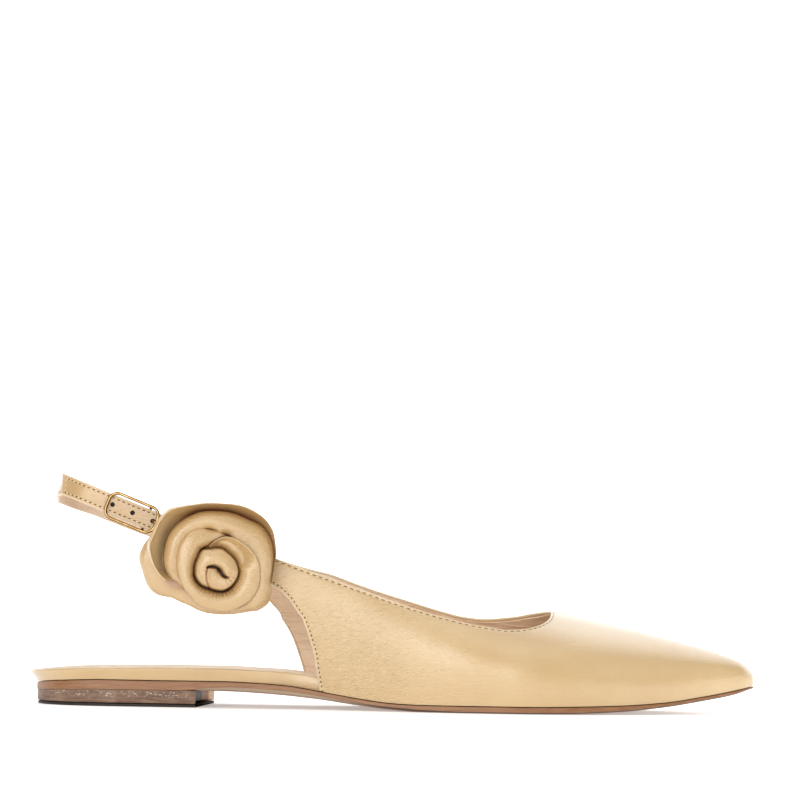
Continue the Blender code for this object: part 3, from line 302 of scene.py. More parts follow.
def last_normal(along, side, around):
    """The last's outward direction."""
    a = last_point(np.minimum(1, along + 0.0012), side, around) - last_point(along - 0.0012, side, around)
    low, high = np.maximum(0, around - 0.012), np.minimum(1 + TUCK, around + 0.012)
    normal = unit(np.cross(a, last_point(along, side, high) - last_point(along, side, low)) * side)
    flip = (normal[..., 2] < 0) & (around < 0.5)
    return np.where(flip[..., None], -normal, normal)


def quarter_at(along, side, height, depth):
    """A place at a depth inside the quarter, and the outward direction there."""
    around = around_at(along, side, height)
    normal = last_normal(along, side, around)
    return last_point(along, side, around) - normal * depth, normal


def edge_curve(rows, side, shares, end, inset=0.0, turn=1):
    """(along, around) pairs down an edge of the upper, moved into the leather by inset in side view."""
    x, z = np.array(rows["along"]) * SHOE_LENGTH, np.array(rows["height"]) * THROAT_HEIGHT
    dx, dz = np.gradient(x), np.gradient(z)
    long = np.hypot(dx, dz)
    x, z = x + turn * dz / long * inset, z - turn * dx / long * inset
    x[0] += inset
    marks = [(a, float(around_at(a, side, h)) * 0.1) for a, h in zip(x / SHOE_LENGTH, z)]
    marks.append((end[0], end[1] * 0.1))
    found = curve_through(marks, shares)
    return found[:, 0], found[:, 1] * 10


def upper_grid(side, ribs, vamp_ribs, fine, middle_rows, inset=0.0, toe=1.0):
    """(along, around) over half of the upper. Each row is a rib from its foot to its head, and the ribs lie
    closer together by the quarter's end and by the throat."""
    corner = round(ribs * CORNER_RIB)
    start = [0, 0.1, 0.25, 0.45, 0.7] + list(range(1, corner + 1))
    beyond = list(range(corner + 1, ribs + 1))
    back_shares = np.array(start) / corner
    foot_a, foot_r = edge_curve(
        BACK_EDGE[side], side, back_shares, (CORNER_ALONG[side] + inset / SHOE_LENGTH, 1 + TUCK), inset, -1
    )
    throat = THROAT_ALONG + inset / SHOE_LENGTH
    base = CORNER_ALONG[side] + inset / SHOE_LENGTH
    base = base + (throat - base) * (np.array(beyond) - corner) / (ribs - corner)
    head_a, head_r = edge_curve(TOPLINE[side], side, np.array(start + beyond) / ribs, (throat, 0.0), inset)
    first = np.array(fine[1:]) * MM / SHOE_LENGTH
    rest = np.sin(np.linspace(0, 1, vamp_ribs + 1)[1:] * math.pi / 2)
    vamp = np.concatenate([throat + first, throat + first[-1] + (toe - throat - first[-1]) * rest])
    feet_a = np.concatenate([foot_a, base, vamp])
    feet_r = np.concatenate([foot_r, np.full(len(base) + len(vamp), 1 + TUCK)])
    heads_a = np.concatenate([head_a, vamp])
    heads_r = np.concatenate([head_r, np.zeros(len(vamp))])

    def spread(s):
        late = 1 + 2 * np.maximum(0, 1 - heads_r / 0.45)
        a = feet_a[:, None] + (heads_a - feet_a)[:, None] * s
        return a, feet_r[:, None] * (1 - s) + heads_r[:, None] * s ** late[:, None]

    probe_a, probe_r = spread(np.linspace(0, 1, 41)[None, :])
    path = last_point(probe_a, side, probe_r)
    length = np.linalg.norm(np.diff(path, axis=1), axis=2).sum(1)
    near = np.array(fine) * MM
    near_share = near[None, :] / length[:, None] * np.minimum(1, 0.3 * length / near[-1])[:, None]
    last_near = near_share[:, -1:]
    middle = last_near + (1 - 2 * last_near) * np.linspace(0, 1, middle_rows + 2)[None, 1:-1]
    s = np.concatenate([near_share, middle, 1 - near_share[:, ::-1]], axis=1)
    a, r = spread(s)
    return a, r, len(start) + len(beyond) - 1


def new_piece(name, bm, finish, replaced=(), sharp=50):
    """A finished piece from a bmesh measured from the back of the sole. It rides with the whole shoe."""
    bmesh.ops.remove_doubles(bm, verts=bm.verts, dist=2e-6)
    bmesh.ops.dissolve_degenerate(bm, edges=bm.edges, dist=1e-7)
    bmesh.ops.recalc_face_normals(bm, faces=bm.faces)
    if bm.calc_volume(signed=True) < 0:
        bmesh.ops.reverse_faces(bm, faces=bm.faces)
    bmesh.ops.translate(bm, vec=(-HEEL_CENTRE, 0, 0), verts=bm.verts)
    mesh = bpy.data.meshes.new(name)
    bm.to_mesh(mesh)
    bm.free()
    mesh.shade_smooth()
    mesh.set_sharp_from_angle(angle=math.radians(sharp))
    mesh.materials.append(finish)
    piece = bpy.data.objects.new(name, mesh)
    bpy.context.scene.collection.objects.link(piece)
    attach(piece, "root")
    if replaced:
        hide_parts(*replaced)
    return piece


def put_rows(bm, points, layer=None, values=None):
    """New vertices in rows, with a value each where a layer is given."""
    rows = []
    for i, row in enumerate(points):
        made = []
        for j, p in enumerate(row):
            vert = bm.verts.new(p)
            if layer is not None:
                vert[layer] = values[i][j]
            made.append(vert)
        rows.append(made)
    return rows


def quads(bm, rows):
    """Faces between rows that lie next to one another."""
    for a, b in zip(rows, rows[1:]):
        for i in range(len(a) - 1):
            bm.faces.new((a[i], a[i + 1], b[i + 1], b[i]))


def sheet_solid(
    name, front, back, finish, slot, replaced=(), sharp=50, ring=False, edge=None, mark="from_edge"
):
    """A closed piece between a front and a back grid of points. Where it is a ring, its rows close up."""
    bm = bmesh.new()
    layer = None if edge is None else bm.verts.layers.float.new(mark)
    fronts = put_rows(bm, front, layer, edge)
    backs = put_rows(bm, back, layer, edge)
    if ring:
        fronts.append(fronts[0])
        backs.append(backs[0])
    else:
        quads(bm, [fronts[0], backs[0]])
        quads(bm, [fronts[-1], backs[-1]])
    quads(bm, fronts)
    quads(bm, backs)
    for j in (0, -1):
        quads(bm, [[row[j] for row in fronts], [row[j] for row in backs]])
    return new_piece(name, bm, finish, replaced, sharp)


def add_bead(bm, middle, ahead, out, length, width, height, sides=7, rounds=5):
    """A short rounded bar lying on a surface: a stitch, or the dark bead of painted shade that stands for the
    hole between two.
    """
    across = np.cross(ahead, out)
    rows = []
    for i in range(rounds + 1):
        t = math.pi * i / rounds
        place, size = middle - ahead * (length / 2 * math.cos(t)), max(math.sin(t), 0.02) ** 0.6
        wide, tall = width / 2 * size, height / 2 * size
        turn = [2 * math.pi * k / sides for k in range(sides)]
        rows.append([
            bm.verts.new(place + across * (wide * math.cos(a)) + out * (tall * math.sin(a))) for a in turn
        ])
    for a, b in zip(rows, rows[1:]):
        for i in range(sides):
            j = (i + 1) % sides
            bm.faces.new((a[i], a[j], b[j], b[i]))
    bm.faces.new(rows[0])
    bm.faces.new(rows[-1][::-1])


def at_run(run, rows, distance):
    """Where a path is, or which way it faces, at a distance along it."""
    return np.array([np.interp(distance, run, rows[:, i]) for i in range(3)])


def sew(name, paths, pitch, length, width):
    """Stitches of a length and width, and dark beads of painted shade for the holes between them, along paths
    of (points, normals).
    """
    threads, holes = bmesh.new(), bmesh.new()
    for points, normals in paths:
        points, normals = np.array(points), np.array(normals)
        run = np.concatenate([[0], np.cumsum(np.linalg.norm(np.diff(points, axis=0), axis=1))])
        count = max(1, int(run[-1] / pitch))
        for k in range(count):
            centre = (k + 0.5) * run[-1] / count
            ahead = unit(at_run(run, points, centre + 0.0004) - at_run(run, points, centre - 0.0004))
            out = at_run(run, normals, centre)
            out = unit(out - ahead * np.dot(out, ahead))
            add_bead(threads, at_run(run, points, centre), ahead, out, length, width, width * 0.85)
            # a dark bead of painted shade sits sunk in the hole before the next stitch
            gap_at = centre + pitch / 2
            if gap_at < run[-1]:
                place = at_run(run, points, gap_at) - out * HOLE_SUNK
                add_bead(holes, place, ahead, out, pitch - length + HOLE_OVERLAP, width, HOLE_DEPTH, 6, 4)
    new_piece(f"{name}_thread", threads, thread_finish, (), 80)
    new_piece(f"{name}_holes", holes, stitch_shade_finish, (), 80)


class Value:
    """One socket of a shader. Sums and products of these add their Math nodes."""

    def __init__(self, finish, socket):
        self.finish, self.socket = finish, socket

    def math(self, operation, first, second):
        return self.finish.node("ShaderNodeMath", {"operation": operation}, {0: first, 1: second})

    def __add__(self, other):
        return self.math("ADD", self, other)

    def __radd__(self, other):
        return self.math("ADD", other, self)

    def __sub__(self, other):
        return self.math("SUBTRACT", self, other)

    def __rsub__(self, other):
        return self.math("SUBTRACT", other, self)

    def __mul__(self, other):
        return self.math("MULTIPLY", self, other)

    def __rmul__(self, other):
        return self.math("MULTIPLY", other, self)

    def between(self, low, high):
        """0 at low and 1 at high, softly, either way round."""
        return self.finish.node(
            "ShaderNodeMapRange",
            {"interpolation_type": "SMOOTHSTEP"},
            {"Value": self, "From Min": low, "From Max": high, "To Min": 0.0, "To Max": 1.0},
        )


def tone(red, green, blue):
    """A colour as the eye names it, from 0 to 255, in the renderer's terms."""
    shares = [c / 255 for c in (red, green, blue)]
    return tuple(c / 12.92 if c < 0.04045 else ((c + 0.055) / 1.055) ** 2.4 for c in shares) + (1.0,)


class Finish:
    """A material in the making."""

    def __init__(self, name, **constants):
        self.material = bpy.data.materials.new(name)
        self.material.use_nodes = True
        self.tree = self.material.node_tree
        self.shader = self.tree.nodes["Principled BSDF"]
        self.place = self.node("ShaderNodeTexCoord", output="Object")
        for key, value in constants.items():
            self.shader.inputs[key.replace("_", " ")].default_value = value

    def give(self, socket, value):
        if isinstance(value, Value):
            self.tree.links.new(value.socket, socket)
        else:
            socket.default_value = value

    def node(self, kind, settings=None, inputs=None, output=0):
        made = self.tree.nodes.new(kind)
        for key, value in (settings or {}).items():
            setattr(made, key, value)
        for key, value in (inputs or {}).items():
            self.give(made.inputs[key], value)
        return Value(self, made.outputs[output])

    def vectors(self, operation, first, second):
        return self.node("ShaderNodeVectorMath", {"operation": operation}, {0: first, 1: second})

    def stretched(self, x, y, z, place=None):
        """Places on the shoe, stretched by a factor each way."""
        return self.vectors("MULTIPLY", place or self.place, (x, y, z))

    def noise(self, scale, detail=3.0, rough=0.55, vector=None, distortion=0.0):
        inputs = {"Vector": vector or self.place, "Scale": scale, "Detail": detail, "Roughness": rough}
        return self.node("ShaderNodeTexNoise", {}, {**inputs, "Distortion": distortion})

    def cells(self, scale, vector):
        return self.node("ShaderNodeTexVoronoi", {"feature": "SMOOTH_F1"}, {"Vector": vector, "Scale": scale})

    def axis(self, name):
        return self.node("ShaderNodeSeparateXYZ", {}, {0: self.place}, name)

    def attribute(self, name):
        return self.node("ShaderNodeAttribute", {"attribute_name": name}, {}, "Fac")

    def mix(self, mask, first, second):
        return self.node("ShaderNodeMix", {"data_type": "RGBA"}, {0: mask, 6: first, 7: second}, 2)

    def bump(self, height, depth, normal=None, strength=1.0):
        inputs = {"Strength": strength, "Distance": depth, "Height": height}
        return self.node("ShaderNodeBump", {}, {**inputs, "Normal": normal} if normal else inputs)

    def done(self, **sockets):
        for key, value in sockets.items():
            self.give(self.shader.inputs[key.replace("_", " ")], value)
        return self.material


def leather(name, deep, fair, pebble, crease, edge=None, rough=0.40, shaded=False):
    """Soft smooth leather: fine pebbles, flowing creases with painted shade along their lines, a little
    mottling and a paler worn edge. Where shaded, its "shade" attribute paints shade and highlights into the
    colour.
    """
    f = Finish(name, Specular_IOR_Level=0.9, Coat_Weight=1.0, Coat_Roughness=0.34)
    flow = f.noise(38.0, 2.0)
    swirl = f.vectors("ADD", f.stretched(0.55, 0.9, 1.15), flow * 0.006)
    pores = f.cells(1250.0, swirl)
    fine = f.noise(2600.0, 2.0, vector=swirl)
    slanted = f.node("ShaderNodeVectorRotate", {"rotation_type": "Y_AXIS"}, {0: f.place, 3: math.radians(19)})
    folds = f.noise(1250.0, 2.0, 0.5, f.stretched(0.42, 0.8, 1.5, slanted), 0.6)
    where = crease(f) if callable(crease) else crease
    tint = f.noise(55.0, 3.0)
    colour = f.mix(tint.between(0.32, 0.70), deep, fair)
    colour = f.mix((1 - pores.between(0.0, 0.42)) * 0.10, colour, deep)
    # painted shade: the fold lines of the creases are darkened in colour as well as bumped
    colour = f.mix((1 - folds.between(0.30, 0.46)) * where * 0.10, colour, tone(176, 136, 88))
    if edge:
        colour = f.mix((1 - f.attribute("from_edge").between(0.0002, 0.0008)) * 0.55, colour, edge)
    if shaded:
        # painted shade and painted highlight: shade above 0 darkens the colour to warm brown and then near
        # black in creases, slits and gaps; shade below 0 pales it as a highlight on the lips and rims
        colour = f.mix(f.attribute("shade").between(0.0, 0.6), colour, tone(158, 108, 62))
        colour = f.mix(f.attribute("shade").between(0.45, 1.0), colour, tone(46, 24, 13))
        colour = f.mix((0 - f.attribute("shade")).between(0.0, 1.0) * 0.6, colour, tone(250, 220, 172))
    normal = f.bump(pores * pebble + fine * 0.25, 0.00030, strength=0.6)
    normal = f.bump(folds * where, 0.0008, normal, 0.9)
    return f.done(Base_Color=colour, Roughness=rough + 0.16 * (f.noise(700.0, 2.0) - 0.5), Normal=normal)


def quarter_creases(f):
    """Strong behind the instep and on the quarters, faint over the vamp and the toe."""
    return 0.07 + 0.93 * (1 - f.axis("X").between(0.085, 0.150))


def rose_creases(f):
    """Pebbly on the side towards the toe, where the petals are stretched flat."""
    return 0.08 + 0.3 * f.axis("X").between(0.044, 0.056)


LEATHER_DEEP, LEATHER_FAIR, LEATHER_EDGE = tone(203, 169, 116), tone(207, 175, 123), tone(238, 222, 192)
upper_finish = leather("upper_leather", LEATHER_DEEP, LEATHER_FAIR, 0.8, quarter_creases, LEATHER_EDGE)
rose_finish = leather(
    "rosette_leather", tone(191, 155, 102), tone(196, 162, 110), 1.3, rose_creases, rough=0.42, shaded=True
)
strap_finish = leather(
    "strap_leather", tone(188, 152, 98), tone(195, 160, 108), 0.9, 0.22, tone(234, 212, 178), rough=0.44
)
insole_finish = leather("insole_edge_leather", tone(198, 163, 110), tone(203, 171, 120), 0.7, 0.05)


def lining(name, deep, fair, wrinkled):
    """Pale unglazed lining leather, with fine pores and soft lengthwise wrinkles."""
    f = Finish(name, Specular_IOR_Level=0.28)
    pores = f.noise(2200.0, 3.0)
    folds = f.noise(240.0, 3.0, 0.5, f.stretched(0.35, 0.6, 1.5), 1.0)
    colour = f.mix(f.noise(70.0, 3.0).between(0.3, 0.7), deep, fair)
    colour = f.mix((1 - pores.between(0.3, 0.6)) * 0.16, colour, deep)
    normal = f.bump(folds * wrinkled, 0.0018, f.bump(pores, 0.00020, strength=0.6), 0.8)
    return f.done(Base_Color=colour, Roughness=0.62 + 0.14 * (pores - 0.5), Normal=normal)


lining_finish = lining("upper_lining", tone(234, 205, 176), tone(244, 220, 194), 1.0)
sock_finish = lining("sock_lining", tone(220, 196, 168), tone(232, 210, 186), 0.3)
strap_lining_finish = lining("strap_lining", tone(216, 186, 158), tone(230, 204, 178), 0.6)


def sole_look():
    """Burnished brown sole edge over a trimmed bevel, paler at the heel and painted dark with shade from the
    waist to the toe, and a dark, faintly scuffed underside.
    """
    f = Finish("sole_edge", Specular_IOR_Level=0.4)
    grain = f.noise(900.0, 4.0, 0.6, f.stretched(0.12, 0.5, 1.6))
    colour = f.mix(grain.between(0.3, 0.7), tone(138, 95, 63), tone(158, 115, 80))
    trimmed = 1 - f.attribute("from_edge").between(0.35, 0.65)
    # painted shade: the bevel turns near black from the middle of the waist to the toe, as the shadow line
    # under the sole's edge
    bevel = f.mix(f.axis("X").between(0.075, 0.105), tone(176, 158, 136), tone(64, 42, 30))
    colour = f.mix(trimmed * 0.9, colour, bevel)
    under = f.attribute("from_edge").between(1.4, 1.6)
    scuffs = f.noise(120.0, 5.0, 0.7, f.stretched(0.3, 1.0, 1.0)).between(0.45, 0.7)
    colour = f.mix(under, colour, f.mix(scuffs * 0.5, tone(146, 112, 84), tone(178, 146, 116)))
    normal = f.bump(grain, 0.0002, strength=0.5)
    return f.done(Base_Color=colour, Roughness=0.42 + 0.25 * (grain - 0.5), Normal=normal)


def stack_look():
    """A stacked leather heel: thin level layers, pressed dark brown, with pale flecks in the top ones. Its
    hollow breast is painted light on its far side and dark with shade on its near side.
    """
    f = Finish("heel_stack", Specular_IOR_Level=0.38)
    up = f.axis("Z")
    layers = f.noise(1.0, 3.0, 0.6, f.stretched(150.0, 150.0, 1500.0))
    fleck_band = up.between(0.0030, 0.0042) * (1 - up.between(0.0052, 0.0058))
    specks = 1 - f.cells(1500.0, f.stretched(0.7, 0.7, 1.2)).between(0.12, 0.40)
    flecks = specks * fleck_band * f.noise(260.0, 2.0).between(0.38, 0.54)
    colour = f.mix(layers.between(0.32, 0.68), tone(102, 76, 59), tone(132, 104, 84))
    colour = f.mix(f.noise(150.0, 4.0).between(0.45, 0.75) * 0.35, colour, tone(174, 146, 122))
    colour = f.mix(flecks * 0.8, colour, tone(214, 200, 184))
    breast = f.attribute("breast")
    # painted light and shade on the breast: its far, medial end is painted light tan as if lit, a mid brown
    # follows, and its near, lateral part is painted dark as shade
    trimmed = f.mix(breast.between(1.10, 1.14), tone(232, 196, 156), tone(168, 120, 86))
    breast_painted_light_and_shade = f.mix(breast.between(1.28, 1.34), trimmed, tone(52, 42, 36))
    colour = f.mix(breast.between(0.3, 0.7), colour, breast_painted_light_and_shade)
    normal = f.bump(layers, 0.00025, strength=0.6)
    return f.done(Base_Color=colour, Roughness=0.5 + 0.2 * (layers - 0.5), Normal=normal)


def rubber_look():
    """Dark gritty rubber, a little worn."""
    f = Finish("top_lift_rubber", Specular_IOR_Level=0.35)
    grit = f.noise(1500.0, 3.0)
    colour = f.mix(grit.between(0.3, 0.7), tone(38, 32, 30), tone(60, 52, 47))
    return f.done(Base_Color=colour, Roughness=0.66 + 0.2 * (grit - 0.5), Normal=f.bump(grit, 0.0001))


def gold_look():
    """Polished pale gold plate with hair scratches and soft tarnish. The wire's sides are painted dark brown
    as a dark reflection and shade.
    """
    f = Finish("buckle_gold", Metallic=1.0)
    hair = f.noise(3000.0, 2.0, vector=f.stretched(0.08, 1.0, 1.0))
    colour = f.mix(f.noise(400.0, 3.0).between(0.35, 0.7), tone(172, 132, 76), tone(208, 174, 118))
    # painted reflection and shade: where the wire turns away from facing out, the gold is painted dark brown
    colour = f.mix(f.attribute("facing").between(0.66, 1.0), tone(92, 62, 28), colour)
    return f.done(Base_Color=colour, Roughness=0.16 + 0.14 * hair, Normal=f.bump(hair, 0.00003))


def thread_look(name, deep, fair):
    """Twisted thread, or the painted shade that darkens the inside of a hole."""
    f = Finish(name, Specular_IOR_Level=0.3)
    twist = f.noise(4200.0, 2.0)
    colour = f.mix(twist.between(0.35, 0.65), deep, fair)
    return f.done(Base_Color=colour, Roughness=0.6 + 0.1 * twist, Normal=f.bump(twist, 0.0001))


sole_finish, stack_finish, rubber_finish, gold_finish = sole_look(), stack_look(), rubber_look(), gold_look()
thread_finish = thread_look("stitch_thread", tone(220, 194, 150), tone(240, 220, 184))
# painted shade for the holes between the stitches
stitch_shade_finish = thread_look("stitch_hole_painted_shade", tone(66, 44, 28), tone(98, 68, 44))
# painted shade for the inside of the strap's holes
hole_shade_finish = thread_look("strap_hole_painted_shade", tone(34, 22, 14), tone(52, 36, 24))


# The upper: leather shell, lining and the stitching along its edges
LEATHER = 0.0009
EDGE_STITCH, BACK_STITCH = 0.0010, 0.0011
TOPLINE_STITCH, BACK_EDGE_STITCH = (0.0024, 0.0012, 0.00038), (0.0017, 0.0009, 0.00044)
RIM_STEPS = (0, 0.05, 0.13, 0.24, 0.36, 0.5, 0.7, 0.9, 1.1, 1.3, 1.5, 1.7, 1.9, 2.15, 2.5, 3.0)


def edge_tree(points):
    """A search tree of the points on an edge."""
    tree = KDTree(len(points))
    for i, p in enumerate(points):
        tree.insert(p, i)
    tree.balance()
    return tree


def distances(tree, points):
    """How far a grid of points lies from the nearest point of an edge."""
    flat = points.reshape(-1, 3)
    return np.array([tree.find(p)[2] for p in flat]).reshape(points.shape[:-1])


def edge_points(rows, side, end, turn=1):
    """Points along an edge of the upper, closely spaced on the last."""
    along, around = edge_curve(rows[side], side, np.linspace(0, 1, 1400), end, 0.0, turn)
    return last_point(along, side, around)


def border(side):
    """Points of the topline, and of the back edge with the quarter's end."""
    top = edge_points(TOPLINE, side, (THROAT_ALONG, 0.0))
    back = edge_points(BACK_EDGE, side, (CORNER_ALONG[side], 1 + TUCK), -1)
    end = top[0] + (back[0] - top[0]) * np.linspace(0, 1, 90)[:, None]
    return top, np.concatenate([back, end])


borders = {side: border(side) for side in (LATERAL, MEDIAL)}
top_tree = edge_tree(np.concatenate([borders[LATERAL][0], borders[MEDIAL][0]]))
back_trees = {side: edge_tree(borders[side][1]) for side in (LATERAL, MEDIAL)}


def rounded(distance, radius):
    """How far a rounded edge falls away at a distance in from it."""
    into = np.clip(radius - distance, 0, radius)
    return radius - np.sqrt(np.maximum(0, radius**2 - into**2))


def toe_room(along, side, wanted):
    """The wall grows thinner inside the very tip of the toe, where both sides meet."""
    half = np.abs(section(along, side)[1] - BALL_WIDTH * look(OUTLINE, "swing", along))
    return np.minimum(wanted, 0.3 * half + 0.00002)


def leather_surface(side, a, r):
    """The leather's outer and inner points, its distances to the nearest edge, the topline and the back edge,
    and its normals."""
    base, normal = last_point(a, side, r), last_normal(a, side, r)
    from_top, from_back = distances(top_tree, base), distances(back_trees[side], base)
    near = np.minimum(from_top, from_back)
    thick = toe_room(a, side, LEATHER)
    fall = np.minimum(rounded(near, LEATHER / 2), thick / 2)
    seams = bell((from_top - EDGE_STITCH) / 0.0004), bell((from_back - BACK_STITCH) / 0.0004)
    groove = 0.00014 * np.maximum(*seams)
    welt = 0.00006 * bell((near - 0.0005) / 0.0003)
    outer = base - normal * (fall + groove - welt)[..., None]
    inner = base - normal * (thick - fall)[..., None]
    foot = r >= 1 + TUCK - 1e-6
    inner[..., 2] = np.where(foot, outer[..., 2], inner[..., 2])
    return outer, inner, near, from_top, from_back, normal


def close_halves(name, halves, throat, finish, replaced=()):
    """One closed shell from its two halves, joined over the ridge from the throat to the toe."""
    bm = bmesh.new()
    layer = bm.verts.layers.float.new("from_edge")
    for outer, inner, near in halves:
        fronts, backs = put_rows(bm, outer, layer, near), put_rows(bm, inner, layer, near)
        quads(bm, fronts)
        quads(bm, backs)
        quads(bm, [fronts[0], backs[0]])
        quads(bm, [fronts[-1], backs[-1]])
        quads(bm, [[row[0] for row in fronts], [row[0] for row in backs]])
        quads(bm, [[row[-1] for row in fronts[: throat + 1]], [row[-1] for row in backs[: throat + 1]]])
    return new_piece(name, bm, finish, replaced, 55)


def stitch_line(points, normals, distance, wanted):
    """Where each rib crosses a given distance from an edge, on the outer surface."""
    path, out = [], []
    for row, facing, away in zip(points, normals, distance):
        for j in range(len(row) - 2, 0, -1):
            if (away[j] - wanted) * (away[j + 1] - wanted) <= 0 and abs(away[j] - away[j + 1]) > 1e-9:
                t = (wanted - away[j]) / (away[j + 1] - away[j])
                path.append(row[j] + (row[j + 1] - row[j]) * t)
                out.append(unit(facing[j] + (facing[j + 1] - facing[j]) * t))
                break
    return np.array(path), np.array(out)


leather_halves, top_paths, back_paths = [], {}, []
for side in (LATERAL, MEDIAL):
    a, r, throat = upper_grid(side, 150, 56, RIM_STEPS, 30)
    outer, inner, near, from_top, from_back, normal = leather_surface(side, a, r)
    leather_halves.append((outer, inner, near))
    q = slice(2, throat + 10)
    top_paths[side] = stitch_line(outer[q], normal[q], from_top[q], EDGE_STITCH)
    back_paths.append(stitch_line(outer[2:70, ::-1], normal[2:70, ::-1], from_back[2:70, ::-1], BACK_STITCH))
close_halves("upper_leather_shell", leather_halves, throat, upper_finish, ("upper",))

lining_halves = []
for side in (LATERAL, MEDIAL):
    a, r, throat = upper_grid(side, 70, 26, (0, 0.1, 0.25, 0.45, 0.7, 1.2, 2.0), 24, 0.0007, 0.972)
    base, normal = last_point(a, side, r), last_normal(a, side, r)
    tucked = [base - normal * depth for depth in (LEATHER + 0.00002, WALL)]
    for sheet in tucked:
        sheet[..., 2] = np.where(r >= 1 + TUCK - 1e-6, base[..., 2], sheet[..., 2])
    lining_halves.append((tucked[0], tucked[1], np.full(a.shape, 0.01)))
close_halves("upper_lining_sheet", lining_halves, throat, lining_finish)
lining_ends = [(half[0][-1] + half[1][-1]) / 2 for half in lining_halves]

top_path = tuple(np.concatenate([top_paths[LATERAL][i], top_paths[MEDIAL][i][::-1]]) for i in (0, 1))
sew("topline_stitch", [top_path], *TOPLINE_STITCH)
sew("back_edge_stitch", back_paths, *BACK_EDGE_STITCH)


# Sole, insole and heel
def ring_solid(name, rings, finish, replaced=(), sharp=40, edge=None, caps=False):
    """A solid lofted through closed rings of points."""
    bm = bmesh.new()
    layer = None if edge is None else bm.verts.layers.float.new("from_edge")
    rows = put_rows(bm, rings, layer, None if edge is None else [edge] * len(rings))
    quads(bm, [row + row[:1] for row in rows])
    if caps:
        bm.faces.new(rows[0])
        bm.faces.new(rows[-1])
    return new_piece(name, bm, finish, replaced, sharp)


# The lining's front end, closed inside the toe
cap_rim = np.concatenate([lining_ends[0], lining_ends[1][-2::-1]])
ring_solid("toe_lining_cap", [cap_rim - (0.0003, 0, 0), cap_rim], lining_finish, caps=True)


def both_ends_close(start, end, count):
    """Places from start to end that lie close together at both ends."""
    return start + (end - start) * (1 - np.cos(np.linspace(0, math.pi, count + 1))) / 2


def outsole():
    """The sole: a burnished edge, a bevel that is wider under the waist, and a flat underside."""
    rings = []
    for along in both_ends_close(SOLE_BACK / SHOE_LENGTH, 1.0, 220):
        top, under = float(sole_top(along)), float(sole_under(along))
        lat, med = float(sole_edge(along, LATERAL, SEAM_GAP)), float(sole_edge(along, MEDIAL, SEAM_GAP))
        if nose(along) * heel_round(along) < 1e-6:
            lat = med = (lat + med) / 2
        wide = med - lat
        waist = float(ease((along - 0.225) / 0.06) * ease((0.60 - along) / 0.15))
        beyond = float(ease((along * SHOE_LENGTH - HEEL_LENGTH + 0.004) / 0.006))
        in_bevel = min(0.0030, wide * 0.3)
        up_bevel = min(0.00006 + (0.00045 + 0.0010 * waist) * beyond, (top - under) * 0.45)
        corner = min(0.0003, wide * 0.1)
        middle, reach = (lat + med) / 2, wide / 2
        half = [
            (reach - corner, top),
            (reach - corner * 0.3, top - 0.00009),
            (reach, top - 0.0003),
            (reach, under + up_bevel + 0.0001),
            (reach - corner * 0.6, under + up_bevel),
            (reach - in_bevel * 0.35, under + up_bevel * 0.45),
            (reach - in_bevel, under),
            (max(0.0, reach - in_bevel * 2), under),
        ]
        ring = [(along * SHOE_LENGTH, middle - w, h) for w, h in half]
        ring += [(along * SHOE_LENGTH, middle + w, h) for w, h in half[::-1]]
        rings.append(ring)
    marks = [1.0, 1.0, 1.0, 1.0, 0.2, 0.0, 1.7, 2.0]
    ring_solid("outsole_edge_and_tread", rings, sole_finish, ("outsole",), 38, marks + marks[::-1])


outsole()


def insole_y(along, side, level):
    """Where the insole's edge lies on a side, at its foot or at its top."""
    rows = INSOLE_EDGE[side]
    out = -(WALL + 2 * SEAM_GAP) * look(rows, "foot", along)
    if level == "top":
        out = out + INSOLE_FLARE * look(rows, "top", along)
    return float(sole_edge(along, side, out))


def insole_levels(along):
    """Plan and height of the insole's foot and top edges, with the top edge flared back at the heel."""
    foot = float(sole_top(along)) + SEAM_GAP
    top = foot + INSOLE_THICK * float(look(INSOLE_BODY, "thick", along))
    low = [insole_y(along, side, "foot") for side in (LATERAL, MEDIAL)]
    high = [insole_y(along, side, "top") for side in (LATERAL, MEDIAL)]
    if heel_round(along) < 1e-6:
        low, high = [0.0, 0.0], [0.0, 0.0]
    shift = INSOLE_FLARE * max(0.0, 1 - (along - SOLE_BACK / SHOE_LENGTH) / (HEEL_ROUND / SHOE_LENGTH)) ** 2
    return foot, top, low, high, along * SHOE_LENGTH, along * SHOE_LENGTH - shift


